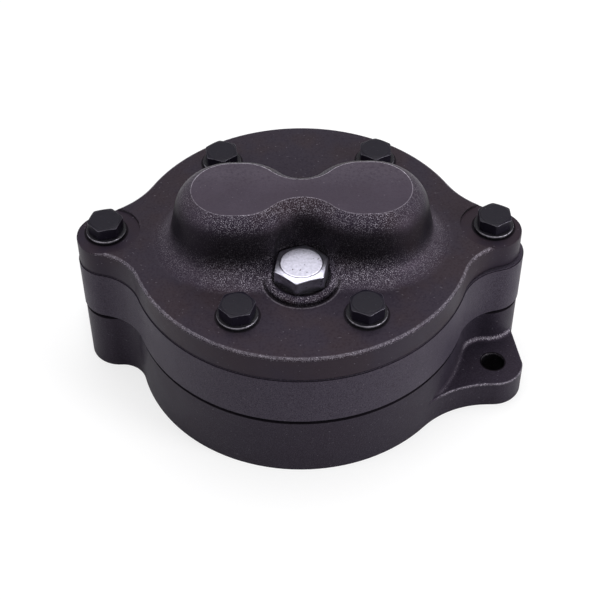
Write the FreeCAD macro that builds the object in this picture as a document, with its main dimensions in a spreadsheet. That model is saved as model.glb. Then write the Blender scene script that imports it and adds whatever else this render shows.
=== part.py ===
import FreeCAD, Part
import math
import os

import Sketcher
from FreeCAD import Placement, Rotation, Vector

# Transmission pump: an external gear pump in three cast iron layers.
# The base stands on its mounting face at z = 0, the gear plate holds the pair of gears,
# and the cover carries the figure-eight bearing boss and the relief valve's plug.
# The origin is the centre of the round body on the mounting face, +Z points to the cover,
# +X to the right ear and -Y to the side with the plug.

doc = FreeCAD.newDocument("transmission_pump")
sheet = doc.addObject("Spreadsheet::Sheet", "Sizes")

# Driving sizes: name, value in millimetres (degrees or a count where it says so), meaning
SIZES = [
    ("body_radius", 77.5, "round body of the three layers"),
    ("base_thick", 32.4, "base, mounting face to gear plate"),
    ("plate_thick", 27.5, "gear plate"),
    ("cover_thick", 13.5, "cover, without its bosses"),
    ("plate_overhang", 0.4, "gear plate casting stands proud of the cover"),
    ("rim_round", 1.6, "rounded upper rim of the cover"),
    ("joint_bevel", 0.5, "broken edges beside the joints"),
    ("joint_groove_high", 1.4, "groove round the gear plate's lower edge"),
    ("joint_groove_deep", 1.2, "that groove, inside the round body"),
    ("ear_out", 10.9, "centre of the right ear's round end, outside the round body"),
    ("left_ear_in", 1.0, "left ear's round end, nearer the body than the right one"),
    ("cover_ear_less", 1.7, "right ear of the cover, smaller round end"),
    ("ear_y", 2.2, "centre of an ear's round end, towards the back"),
    ("ear_radius", 14.1, "round end of an ear"),
    ("ear_blend_front", 25.0, "hollow blend from ear to body, front side"),
    ("base_blend_front", 12.0, "the same blend in the base, which is recessed there"),
    ("ear_blend_back", 39.5, "hollow blend from ear to body, back side"),
    ("foot_out", 16.0, "mounting foot's hole, outside the round body"),
    ("foot_angle", -16.5, "mounting foot's hole, about the middle from the ear's side, degrees"),
    ("foot_hole_radius", 5.55, "mounting foot's hole"),
    ("foot_radius", 14.0, "round end of a mounting foot"),
    ("foot_thick", 14.5, "mounting foot"),
    ("foot_blend", 42.0, "hollow blend from foot to body"),
    ("foot_fillet", 2.4, "cast fillet where a foot meets the wall"),
    ("foot_round", 0.8, "rounded upper edge of a foot"),
    ("foot_side_slope", -4.0, "where a foot's round end passes into its straight side, degrees"),
    ("foot_side_end", 0.8, "where that side meets the ear, share of the ear's radius"),
    ("gear_offset", 28.0, "each gear's axis, from the middle"),
    ("gear_line_y", -2.0, "line through both gear axes"),
    ("tooth_count", 14, "teeth on each gear, a count"),
    ("pressure_angle", 20.0, "gear pressure angle, degrees"),
    ("addendum_share", 1.0, "tooth height above the pitch circle, in modules"),
    ("dedendum_share", 1.25, "tooth depth below the pitch circle, in modules"),
    ("backlash", 0.3, "play between meshed teeth on the pitch circle"),
    ("tip_gap", 0.25, "gear tips to the pocket wall"),
    ("side_gap", 0.1, "gear side to its wear plate"),
    ("wear_plate_thick", 2.0, "bronze wear plate"),
    ("plate_slip", 0.15, "slip of a loose plate or ring in its pocket"),
    ("shaft_radius", 12.0, "both shafts at gears and bushings"),
    ("seal_land_radius", 11.0, "drive shaft where the lip seal runs"),
    ("shaft_recess", 1.5, "drive shaft's end above the mounting face"),
    ("end_play", 0.4, "free end play of a shaft in its blind bore"),
    ("running_gap", 0.05, "radial running clearance"),
    ("bushing_wall", 2.0, "bronze bushing's wall"),
    ("cover_bushing_long", 24.0, "bushings in the cover"),
    ("base_bushing_long", 17.0, "bushings in the base"),
    ("key_width", 6.0, "gear keys"),
    ("key_height", 6.0, "gear keys"),
    ("key_long", 20.0, "gear keys"),
    ("spline_count", 10, "drive shaft's inner splines, a count"),
    ("spline_inner_radius", 6.3, "drive shaft's splines, inner circle"),
    ("spline_outer_radius", 7.6, "drive shaft's splines, outer circle"),
    ("spline_slot", 2.2, "width of a spline groove"),
    ("spline_deep", 24.0, "depth of the splined socket"),
    ("seal_radius", 18.0, "lip seal's outer radius"),
    ("seal_thick", 8.0, "lip seal"),
    ("seal_sheet", 1.2, "steel case of the lip seal"),
    ("seal_slack", 1.45, "free depth above the lip seal"),
    ("seal_shelf", 3.0, "inner edge of the seal's case, outside the shaft"),
    ("lip_root", 1.6, "top of the seal's lip, outside the shaft"),
    ("lip_thick", 1.2, "seal's lip at its free end"),
    ("lip_low", 1.2, "free end of the seal's lip above the seal's foot"),
    ("lip_edge", 2.2, "sealing edge below the top of the rubber"),
    ("lip_web", 2.0, "rubber under the case's shelf"),
    ("ring_inset", 1.4, "snap ring above the mounting face"),
    ("ring_thick", 1.5, "snap ring"),
    ("ring_bite", 1.2, "snap ring's grip in its groove"),
    ("ring_wide", 3.0, "snap ring's radial width"),
    ("ring_gap_half", 3.0, "half the snap ring's gap"),
    ("ring_eye_radius", 2.25, "snap ring's eyes"),
    ("ring_eye_hole", 0.9, "holes in the snap ring's eyes"),
    ("ring_eye_in", 0.6, "snap ring's eyes, in from its inner edge"),
    ("ring_eye_angle", 70.0, "snap ring's eyes about the shaft, degrees"),
    ("bushing_relief", 1.4, "free depth under the drive side's base bushing"),
    ("inlet_y", 24.0, "inlet port, from the line of the gears"),
    ("inlet_radius", 12.5, "inlet port"),
    ("outlet_y", 24.0, "outlet port, from the line of the gears"),
    ("outlet_radius", 10.0, "outlet port"),
    ("port_ring_gap", 1.4, "land between a port and its seal groove"),
    ("port_ring_wide", 3.0, "seal groove round a port"),
    ("port_ring_deep", 2.0, "seal groove round a port"),
    ("joint_ring_land", 4.25, "land between the gear pocket and its seal groove"),
    ("joint_ring_wide", 3.0, "seal groove round the gears"),
    ("joint_ring_deep", 2.0, "seal groove round the gears"),
    ("ear_bolt_in", 0.3, "ear bolts, inwards from the ear's centre"),
    ("ear_bolt_back", 1.8, "ear bolts, towards the back from the ear's centre"),
    ("front_bolt_edge", 18.8, "front bolts, inside the round body's wall"),
    ("front_bolt_angle", -61.95, "right front bolt about the middle, degrees"),
    ("back_bolt_edge", 14.9, "back bolts, inside the round body's wall"),
    ("back_bolt_angle", 54.2, "right back bolt about the middle, degrees"),
    ("bolt_radius", 4.75, "cover bolts' shank"),
    ("bolt_long", 61.0, "cover bolts' shank"),
    ("bolt_flats", 14.3, "cover bolts' hexagon across flats"),
    ("bolt_head", 6.3, "cover bolts' head height"),
    ("bolt_hole_slip", 0.4, "bolt shank in its through hole"),
    ("thread_slip", 0.05, "bolt shank in its tapped hole"),
    ("tap_run_out", 2.0, "tapped hole below the bolt's end"),
    ("head_flat", 0.95, "flat top of a head, share of its flats"),
    ("bolt_head_slope", 30.0, "turned corners of a bolt's head, degrees"),
    ("washer_radius", 9.0, "bolt washers"),
    ("washer_thick", 1.6, "bolt washers"),
    ("spot_radius", 15.3, "lowered seat round each ear bolt"),
    ("spot_deep", 1.0, "lowered seat round each ear bolt"),
    ("dowel_edge", 8.0, "dowels, inside the round body's wall"),
    ("front_dowel_angle", -50.0, "front dowel about the middle, degrees"),
    ("back_dowel_angle", 105.0, "back dowel about the middle, degrees"),
    ("dowel_radius", 4.0, "dowels"),
    ("dowel_in_base", 10.0, "dowel's length in the base"),
    ("dowel_in_cover", 8.0, "dowel's length in the cover"),
    ("dowel_bevel", 0.6, "broken ends of a dowel"),
    ("boss_height", 28.5, "bearing boss above the cover's face"),
    ("lobe_inner", 26.1, "centre of a lobe's inner round, from the middle"),
    ("lobe_outer", 31.1, "centre of a lobe's outer round, from the middle"),
    ("lobe_radius", 17.2, "flat top of a lobe"),
    ("waist_half", 5.6, "half the width of the flat top between the lobes"),
    ("crown_radius", 13.2, "rounded shoulder of the boss"),
    ("crown_start", 21.6, "slope of the shoulder at the machined flat, degrees"),
    ("boss_draft", 12.0, "draft of the boss wall, degrees"),
    ("skirt_radius", 8.0, "hollow skirt at the foot of the boss"),
    ("boss_shift", 0.7, "casting's boss, to the right of the machined bores"),
    ("plug_y", -30.5, "plug and relief valve, towards the back"),
    ("plug_boss_radius", 16.3, "round boss under the plug, at its foot"),
    ("plug_boss_height", 3.0, "round boss under the plug"),
    ("plug_boss_round", 2.0, "rounded edge of that boss"),
    ("plug_seat_radius", 13.1, "spot face under the plug"),
    ("plug_seat_deep", 0.8, "spot face under the plug"),
    ("plug_flats", 21.9, "plug's hexagon across flats"),
    ("plug_head", 7.9, "plug's head height"),
    ("plug_head_slope", 24.0, "turned corners of the plug's head, degrees"),
    ("plug_turn", -100.9, "plug's hexagon turned about its axis, degrees"),
    ("plug_radius", 9.5, "plug's threaded shank"),
    ("plug_long", 8.6, "plug's shank below its head"),
    ("plug_ring_radius", 11.2, "seal seat under the plug's head"),
    ("plug_ring_deep", 2.0, "seal seat under the plug's head"),
    ("valve_radius", 6.4, "relief valve's guide"),
    ("valve_long", 10.0, "relief valve, nose to rim"),
    ("valve_wall", 1.1, "relief valve's cup wall"),
    ("valve_floor", 2.0, "relief valve's cup floor"),
    ("valve_nose", 1.6, "relief valve's conical nose"),
    ("valve_pilot", 0.6, "relief valve's tip inside the hole that it closes"),
    ("valve_pilot_slip", 0.1, "that tip in its hole"),
    ("valve_land", 0.8, "relief valve's flat seat round the hole"),
    ("valve_port_radius", 4.0, "hole that the relief valve closes"),
    ("valve_seat_thick", 2.6, "wall that holds the relief valve's seat"),
    ("spring_radius", 3.9, "relief spring, middle of the wire"),
    ("spring_wire", 0.7, "relief spring's wire radius"),
    ("spring_turns", 5, "relief spring's turns, a count"),
    ("spring_flats", 8, "flats that stand for the round wire, a count"),
    ("spring_seat", 3.4, "metal left above the relief spring in the plug's head"),
    ("gallery_radius", 2.2, "return gallery from the relief valve to the inlet"),
]
for row, (name, value, meaning) in enumerate(SIZES, start=1):
    sheet.set(f"A{row}", meaning)
    sheet.set(f"B{row}", str(value))
    sheet.setAlias(f"B{row}", name)
doc.recompute()


def size(name):
    """A driving size, as a number."""
    return float(sheet.get(name))


# Heights of the joints, as expressions of the sheet
PLATE_Z = "Sizes.base_thick"
COVER_Z = "(Sizes.base_thick + Sizes.plate_thick)"
FACE_Z = "(Sizes.base_thick + Sizes.plate_thick + Sizes.cover_thick)"
plate_z = size("base_thick")
cover_z = plate_z + size("plate_thick")
face_z = cover_z + size("cover_thick")
gear_y = size("gear_line_y")
SIDES = (("drive", 1), ("driven", -1))
SIGNS = {1: "", -1: "-"}
PAST = "1"  # how far a cut runs on past the metal
LEVEL = 1e-4  # heights closer than this are the same


# Sketches and solid features

def new_body(label):
    body = doc.addObject("PartDesign::Body", label)
    body.Label = label
    return body


def machined(label, casting_shape):
    """A body that starts from a rough casting."""
    casting = doc.addObject("Part::Feature", f"{label}_casting")
    casting.Label = f"{label}_casting"
    casting.Shape = casting_shape
    body = new_body(label)
    body.BaseFeature = casting
    doc.recompute()
    return body


def sketch_on(body, height="0", role="XY_Plane"):
    """An empty sketch on one of the body's own planes, raised by a height."""
    sketch = body.newObject("Sketcher::SketchObject", "Sketch")
    plane = next(item for item in body.Origin.OriginFeatures if item.Role == role)
    sketch.AttachmentSupport = [(plane, "")]
    sketch.MapMode = "FlatFace"
    if height != "0":
        sketch.setExpression("AttachmentOffset.Base.z", height)
    return sketch


def bind(sketch, constraint, expression):
    number = sketch.addConstraint(constraint)
    sketch.setExpression(f"Constraints[{number}]", expression)


def pin_point(sketch, shape, point, x, y):
    """Ties a point of the sketch to x and y, both expressions, from the sketch's origin."""
    for kind, axis, place in (("DistanceX", -2, x), ("DistanceY", -1, y)):
        if place == "0":
            sketch.addConstraint(Sketcher.Constraint("PointOnObject", shape, point, axis))
        else:
            bind(sketch, Sketcher.Constraint(kind, -1, 1, shape, point, 1.0), place)


def circle(sketch, x, y, radius):
    shape = sketch.addGeometry(Part.Circle(Vector(1, 1, 0), Vector(0, 0, 1), 1.0), False)
    bind(sketch, Sketcher.Constraint("Radius", shape, 1.0), radius)
    pin_point(sketch, shape, 3, x, y)


def polygon(sketch, corners):
    """A closed outline of straight lines through corners given as pairs of expressions."""
    count = len(corners)
    start = sketch.GeometryCount
    first_guess = [Vector(math.cos(math.tau * k / count), math.sin(math.tau * k / count), 0)
                   for k in range(count)]
    spread = [Vector(2, 2, 0).add(point) for point in first_guess]
    for k in range(count):
        sketch.addGeometry(Part.LineSegment(spread[k], spread[(k + 1) % count]), False)
    for k in range(count):
        sketch.addConstraint(Sketcher.Constraint("Coincident", start + k, 2, start + (k + 1) % count, 1))
    for k, (x, y) in enumerate(corners):
        pin_point(sketch, start + k, 1, x, y)


def pad(body, sketch, length, down=False):
    feature = body.newObject("PartDesign::Pad", "Pad")
    feature.Profile = sketch
    feature.Reversed = down
    feature.setExpression("Length", length)
    body.Tip = feature
    doc.recompute()
    return feature


def pocket(body, sketch, depth, up=True):
    """Cuts away from the sketch, upwards unless it says otherwise, and proves that it cut."""
    before = body.Shape.Volume
    feature = body.newObject("PartDesign::Pocket", "Pocket")
    feature.Profile = sketch
    feature.Reversed = up
    feature.setExpression("Length", depth)
    body.Tip = feature
    doc.recompute()
    if not feature.Shape.Volume < before - 1e-3:
        raise RuntimeError(f"{body.Label}: a pocket cut nothing")
    return feature


def drill(body, places, radius, height, depth, up=True):
    """Round holes of one radius at the given places."""
    sketch = sketch_on(body, height)
    for x, y in places:
        circle(sketch, x, y, radius)
    return pocket(body, sketch, depth, up)


def turned(body, corners):
    """A solid of revolution about the body's own Z axis from corners (radius, height)."""
    sketch = sketch_on(body, role="XZ_Plane")
    polygon(sketch, corners)
    feature = body.newObject("PartDesign::Revolution", "Revolution")
    feature.Profile = sketch
    feature.ReferenceAxis = (sketch, ["V_Axis"])
    feature.Angle = 360
    body.Tip = feature
    doc.recompute()
    return feature


def set_place(item, x="0", y="0", height="0"):
    for axis, place in (("x", x), ("y", y), ("z", height)):
        if place != "0":
            item.setExpression(f"Placement.Base.{axis}", place)


def bevel(body, edges, width):
    base = body.Tip
    feature = body.newObject("PartDesign::Chamfer", "Chamfer")
    feature.Base = (base, edges)
    feature.setExpression("Size", width)
    body.Tip = feature
    doc.recompute()
    return feature


def outer_edges(shape, height, reach):
    """Names of the edges of a layer's outline at one height: those that run outside the reach."""
    names = []
    for number, edge in enumerate(shape.Edges, start=1):
        box = edge.BoundBox
        middle = edge.valueAt((edge.FirstParameter + edge.LastParameter) / 2)
        level = abs(box.ZMin - height) < LEVEL and abs(box.ZMax - height) < LEVEL
        if level and math.hypot(middle.x, middle.y) > reach:
            names.append(f"Edge{number}")
    return names


# Outline that the three layers share: the round body with its two ears

def blend_centre(radius_a, centre_b, radius_b, blend, side):
    """Centre of an arc that touches the circle radius_a about the origin and the circle radius_b
    about centre_b from outside: it lies radius_a + blend from the one centre and radius_b + blend
    from the other, turned from the line between them by the cosine rule."""
    apart = math.hypot(centre_b.x, centre_b.y)
    far = radius_a + blend
    cosine = (far**2 + apart**2 - (radius_b + blend)**2) / (2 * far * apart)
    angle = math.atan2(centre_b.y, centre_b.x) + side * math.acos(cosine)
    return Vector(far * math.cos(angle), far * math.sin(angle), 0)


def towards(start, end, length):
    """The point at a length from start on the way to end."""
    step = Vector(end).sub(start)
    return start.add(step.multiply(length / step.Length))


def ear_centre():
    return Vector(size("body_radius") + size("ear_out"), size("ear_y"), 0)


def foot_centre():
    """The right mounting foot's hole."""
    reach = size("body_radius") + size("foot_out")
    turn = math.radians(size("foot_angle"))
    return Vector(reach * math.cos(turn), reach * math.sin(turn), 0)


def ear_stops(ear, ear_radius, overhang, front_blend):
    """Points along the right ear from the front to the back: each blend by its ends and its
    middle, and the tip of the round end between them."""
    middle = Vector(0, 0, 0)
    radius = size("body_radius") + overhang

    def blend_stops(blend, side):
        """Where a blend leaves the body, its middle, and where it meets the ear."""
        centre = blend_centre(radius, ear, ear_radius, blend, side)
        on_body = towards(middle, centre, radius)
        on_ear = towards(ear, centre, ear_radius)
        return [on_body, towards(centre, on_body.add(on_ear).multiply(0.5), blend), on_ear]

    front = blend_stops(front_blend - overhang, -1)
    back = blend_stops(size("ear_blend_back") - overhang, 1)
    return front + [ear.add(Vector(ear_radius, 0, 0))] + back[::-1]


def layer_outline(overhang=0.0, right_less=0.0, front_blend="ear_blend_front"):
    """Eight arcs, anticlockwise from the front blend of the right ear, whose round end may be a
    little smaller than the left one's."""
    radius = size("body_radius") + overhang
    ear_radius = size("ear_radius") + overhang
    left_ear = ear_centre().sub(Vector(size("left_ear_in"), 0, 0))
    blend = size(front_blend)
    stops = ear_stops(ear_centre(), ear_radius - right_less, overhang, blend)
    mirrored = [Vector(-stop.x, stop.y, 0)
                for stop in reversed(ear_stops(left_ear, ear_radius, overhang, blend))]
    top = Vector(0, radius, 0)
    bottom = Vector(0, -radius, 0)
    loop = stops + [top] + mirrored + [bottom]
    count = len(loop)
    return [Part.Arc(loop[k], loop[k + 1], loop[(k + 2) % count]) for k in range(0, count, 2)]


def base_outline():
    return layer_outline(front_blend="base_blend_front")


def draw_layer(body, overhang=0.0):
    sketch = sketch_on(body)
    for arc in layer_outline(overhang):
        sketch.addGeometry(arc, False)
    return sketch


def foot_face(side):
    """Plan of a mounting foot: round about its hole, blended into the body by one hollow arc, and
    closed inside the casting. The left one is the right one turned half round."""
    radius = size("body_radius")
    end_radius = size("foot_radius")
    blend = size("foot_blend")
    hole = foot_centre()
    ear = ear_centre()
    front_y = hole.y - end_radius
    centre_y = front_y - blend
    centre = Vector(math.sqrt((radius + blend)**2 - centre_y**2), centre_y, 0)

    def on_end(degrees):
        turn = math.radians(degrees)
        return hole.add(Vector(end_radius * math.cos(turn), end_radius * math.sin(turn), 0))

    on_body = towards(Vector(0, 0, 0), centre, radius)
    blend_middle = towards(centre, on_body.add(Vector(centre.x, front_y, 0)).multiply(0.5), blend)
    blend_end = Vector(centre.x, front_y, 0)
    side_slope = size("foot_side_slope")
    ear_end = ear.add(Vector(size("ear_radius") * size("foot_side_end"), 0, 0))
    inner = Vector(radius / 2, 0, 0)
    edges = [Part.Arc(on_body, blend_middle, blend_end).toShape(),
             Part.LineSegment(blend_end, on_end(-90)).toShape(),
             Part.Arc(on_end(-90), on_end(-45), on_end(side_slope)).toShape(),
             Part.LineSegment(on_end(side_slope), ear_end).toShape(),
             Part.LineSegment(ear_end, inner).toShape(),
             Part.LineSegment(inner, on_body).toShape()]
    face = Part.Face(Part.Wire(edges))
    if side < 0:
        face.rotate(Vector(0, 0, 0), Vector(0, 0, 1), 180)
    return face


def make_foot(side):
    """A foot with its free upper edges rounded."""
    thick = size("foot_thick")
    foot = foot_face(side).extrude(Vector(0, 0, thick))
    free = []
    for edge in foot.Edges:
        middle = edge.valueAt((edge.FirstParameter + edge.LastParameter) / 2)
        upper = edge.BoundBox.ZMin > thick - LEVEL
        if upper and math.hypot(middle.x, middle.y) > size("body_radius"):
            free.append(edge)
    return foot.makeFillet(size("foot_round"), free)


def make_wall_fillets():
    """The cast fillets between the walls and the feet: one hollow triangle carried all along the
    layers' outline, of which only the stretches over the feet are kept."""
    width = size("foot_fillet")
    level = size("foot_thick")
    track = Part.Wire([arc.toShape() for arc in base_outline()])
    start = track.Edges[0].valueAt(track.Edges[0].FirstParameter)
    out = Vector(start.x, start.y, 0).normalize()
    bite = size("foot_round") / 2

    def place(offset, rise):
        return start.add(Vector(out).multiply(offset)).add(Vector(0, 0, level + rise))

    slope = width * (1 - math.sqrt(0.5))
    section = Part.Wire([Part.LineSegment(place(-bite, -bite), place(width, -bite)).toShape(),
                         Part.LineSegment(place(width, -bite), place(width, 0)).toShape(),
                         Part.Arc(place(width, 0), place(slope, slope), place(0, width)).toShape(),
                         Part.LineSegment(place(0, width), place(-bite, width)).toShape(),
                         Part.LineSegment(place(-bite, width), place(-bite, -bite)).toShape()])
    ring = track.makePipeShell([section], True, False)
    kept = []
    for side in (1, -1):
        top = next(face for face in make_foot(side).Faces if face.BoundBox.ZMin > level - LEVEL)
        top.translate(Vector(0, 0, -bite))
        kept.append(ring.common(top.extrude(Vector(0, 0, 2 * width))))
    return kept


def make_base_casting():
    """The rough base: the layer with its joint rim broken, both feet and their fillets."""
    thick = size("base_thick")
    wire = Part.Wire([arc.toShape() for arc in base_outline()])
    slab = Part.Face(wire).extrude(Vector(0, 0, thick))
    rim = [edge for edge in slab.Edges if edge.BoundBox.ZMin > thick - LEVEL]
    slab = slab.makeChamfer(size("joint_bevel"), rim)
    feet = [make_foot(side) for side in (1, -1)]
    return slab.fuse(feet + make_wall_fillets()).removeSplitter()


# Places of the holes that run through the layers

def wall_place(edge, angle, sign=""):
    """A place at an edge distance inside the round body's wall, or outside where the distance is
    negative, turned about the middle. Expressions; the sign mirrors it to the left."""
    reach = f"(Sizes.body_radius - {edge})"
    return f"{sign}({reach} * cos(Sizes.{angle}))", f"{reach} * sin(Sizes.{angle})"


def wall_point(edge, angle, side=1):
    """The same place as numbers."""
    reach = size("body_radius") - size(edge)
    turn = math.radians(size(angle))
    return Vector(side * reach * math.cos(turn), reach * math.sin(turn), 0)


EAR_BOLT_PLACES = [(f"{sign}(Sizes.body_radius + Sizes.ear_out - Sizes.ear_bolt_in)",
                    "Sizes.ear_y + Sizes.ear_bolt_back") for sign in SIGNS.values()]
BOLT_PLACES = EAR_BOLT_PLACES + [wall_place(f"Sizes.{name}_bolt_edge", f"{name}_bolt_angle", sign)
                                 for name in ("front", "back") for sign in SIGNS.values()]
DOWEL_PLACES = [wall_place("Sizes.dowel_edge", f"{name}_dowel_angle") for name in ("front", "back")]
RIGHT_FOOT = wall_place("(-Sizes.foot_out)", "foot_angle")
FOOT_PLACES = [RIGHT_FOOT, (f"-({RIGHT_FOOT[0]})", f"-({RIGHT_FOOT[1]})")]
DRIVE_PLACE = ("Sizes.gear_offset", "Sizes.gear_line_y")
DRIVEN_PLACE = ("-Sizes.gear_offset", "Sizes.gear_line_y")
INLET_PLACE = ("0", "(Sizes.gear_line_y + Sizes.inlet_y)")
OUTLET_PLACE = ("0", "(Sizes.gear_line_y - Sizes.outlet_y)")
BUSHING_RADIUS = "Sizes.shaft_radius + Sizes.running_gap + Sizes.bushing_wall"
pitch_radius = size("gear_offset")
module = 2 * pitch_radius / size("tooth_count")
tip_radius = pitch_radius + module * size("addendum_share")
TIP_RADIUS = "(Sizes.gear_offset * (1 + 2 * Sizes.addendum_share / Sizes.tooth_count))"
BORE_STEP = f"({PLATE_Z} - Sizes.base_bushing_long - Sizes.bushing_relief)"
SEAL_FOOT = "(Sizes.ring_inset + Sizes.ring_thick + Sizes.plate_slip)"


def draw_racetrack(sketch, radius):
    """Two half circles about the gear axes, joined by straight lines."""
    x = size("gear_offset")
    low, high = gear_y - radius, gear_y + radius
    right_low, right_high = Vector(x, low, 0), Vector(x, high, 0)
    left_low, left_high = Vector(-x, low, 0), Vector(-x, high, 0)
    right_end = Part.Arc(right_low, Vector(x + radius, gear_y, 0), right_high)
    left_end = Part.Arc(left_high, Vector(-x - radius, gear_y, 0), left_low)
    sketch.addGeometry(right_end, False)
    sketch.addGeometry(Part.LineSegment(right_high, left_high), False)
    sketch.addGeometry(left_end, False)
    sketch.addGeometry(Part.LineSegment(left_low, right_low), False)


def draw_seal_track(body, height, slip=0.0):
    """Both edges of the seal groove round the gears."""
    sketch = sketch_on(body, height)
    inner = tip_radius + size("tip_gap") + size("joint_ring_land")
    draw_racetrack(sketch, inner + slip)
    draw_racetrack(sketch, inner + size("joint_ring_wide") - slip)
    return sketch


# Base: the layer that stands on the machine, with both mounting feet, the ports, the drive
# side's through bore and the driven side's blind one

def make_base():
    body = machined("base_body", make_base_casting())
    drill(body, FOOT_PLACES, "Sizes.foot_hole_radius", "0", "Sizes.foot_thick")
    drill(body, [INLET_PLACE], "Sizes.inlet_radius", "0", PLATE_Z)
    drill(body, [OUTLET_PLACE], "Sizes.outlet_radius", "0", PLATE_Z)
    drill(body, [DRIVE_PLACE], "Sizes.seal_radius", "0",
          f"{SEAL_FOOT} + Sizes.seal_thick + Sizes.seal_slack")
    drill(body, [DRIVE_PLACE], "Sizes.seal_radius + Sizes.ring_bite",
          "Sizes.ring_inset - Sizes.plate_slip", "Sizes.ring_thick + 2 * Sizes.plate_slip")
    drill(body, [DRIVE_PLACE], "Sizes.seal_land_radius + Sizes.bolt_hole_slip", "0", PLATE_Z)
    drill(body, [DRIVE_PLACE], BUSHING_RADIUS, BORE_STEP, PLATE_Z)
    drill(body, [DRIVEN_PLACE], BUSHING_RADIUS, PLATE_Z,
          "Sizes.base_bushing_long + Sizes.end_play", up=False)
    drill(body, BOLT_PLACES, "Sizes.bolt_radius + Sizes.thread_slip", PLATE_Z,
          "Sizes.bolt_long - Sizes.cover_thick - Sizes.plate_thick - Sizes.washer_thick"
          " + Sizes.spot_deep + Sizes.tap_run_out", up=False)
    drill(body, DOWEL_PLACES, "Sizes.dowel_radius", PLATE_Z,
          "Sizes.dowel_in_base", up=False)
    for place, radius in ((INLET_PLACE, "Sizes.inlet_radius"), (OUTLET_PLACE, "Sizes.outlet_radius")):
        groove = sketch_on(body)
        circle(groove, *place, f"{radius} + Sizes.port_ring_gap")
        circle(groove, *place, f"{radius} + Sizes.port_ring_gap + Sizes.port_ring_wide")
        pocket(body, groove, "Sizes.port_ring_deep")
    return body


# Gear plate: the middle layer, open for the pair of gears and the two port chambers

def make_gear_plate():
    body = new_body("gear_plate")
    overhang = size("plate_overhang")
    pad(body, draw_layer(body, overhang), "Sizes.plate_thick")
    groove = draw_layer(body, -size("joint_groove_deep"))
    circle(groove, "0", "0", "2 * Sizes.body_radius")
    pocket(body, groove, "Sizes.joint_groove_high")
    rim = outer_edges(body.Shape, size("plate_thick"), size("body_radius") * 0.9)
    bevel(body, rim, "Sizes.joint_bevel")
    for place in (DRIVE_PLACE, DRIVEN_PLACE):
        drill(body, [place], f"{TIP_RADIUS} + Sizes.tip_gap", "0", "Sizes.plate_thick")
    drill(body, [INLET_PLACE], "Sizes.inlet_radius", "0", "Sizes.plate_thick")
    drill(body, [OUTLET_PLACE], "Sizes.outlet_radius", "0", "Sizes.plate_thick")
    drill(body, BOLT_PLACES, "Sizes.bolt_radius + Sizes.bolt_hole_slip", "0", "Sizes.plate_thick")
    drill(body, DOWEL_PLACES, "Sizes.dowel_radius", "0", "Sizes.plate_thick")
    pocket(body, draw_seal_track(body, "0"), "Sizes.joint_ring_deep")
    pocket(body, draw_seal_track(body, "Sizes.plate_thick"), "Sizes.joint_ring_deep", up=False)
    set_place(body, height=PLATE_Z)
    return body


# Cover: a casting whose boss is swept round the figure eight, then machined

def boss_profile():
    """Side of the boss from the flat's edge outwards, as (offset, height) points: the shoulder arc
    from its slope at the flat to the wall's slope, the drafted wall, and the hollow skirt that
    lands flat on the cover. Returns the five points that fix both arcs, and the whole reach."""
    crown = size("crown_radius")
    skirt = size("skirt_radius")
    first = math.radians(size("crown_start"))
    wall = math.radians(90 - size("boss_draft"))
    height = size("boss_height")

    def on_crown(slope):
        return (crown * (math.sin(slope) - math.sin(first)),
                height - crown * (math.cos(first) - math.cos(slope)))

    wall_top = on_crown(wall)
    wall_low_height = skirt * (1 - math.cos(wall))
    wall_low = (wall_top[0] + (wall_top[1] - wall_low_height) / math.tan(wall), wall_low_height)
    reach = wall_low[0] + skirt * math.sin(wall)

    def on_skirt(slope):
        return (reach - skirt * math.sin(slope), skirt * (1 - math.cos(slope)))

    return dict(start=(0.0, height), crown_middle=on_crown((first + wall) / 2), wall_top=wall_top,
                wall_low=wall_low, on_skirt=on_skirt, wall_slope=wall, reach=reach)


def boss_section(inner, outer_at):
    """Face of the boss's side between the flat's edge and the cover, closed along the line
    inner. outer_at turns an (offset, height) point into a place."""
    side = boss_profile()
    skirt_middle = side["on_skirt"](side["wall_slope"] / 2)
    skirt_end = side["on_skirt"](0.0)
    places = [outer_at(point) for point in (side["start"], side["crown_middle"], side["wall_top"],
                                            side["wall_low"], skirt_middle, skirt_end)]
    top = Vector(inner.x, inner.y, places[0].z)
    foot = Vector(inner.x, inner.y, 0)
    edges = [Part.LineSegment(top, places[0]).toShape(),
             Part.Arc(places[0], places[1], places[2]).toShape(),
             Part.LineSegment(places[2], places[3]).toShape(),
             Part.Arc(places[3], places[4], places[5]).toShape(),
             Part.LineSegment(places[5], foot).toShape(),
             Part.LineSegment(foot, top).toShape()]
    return Part.Face(Part.Wire(edges))


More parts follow.
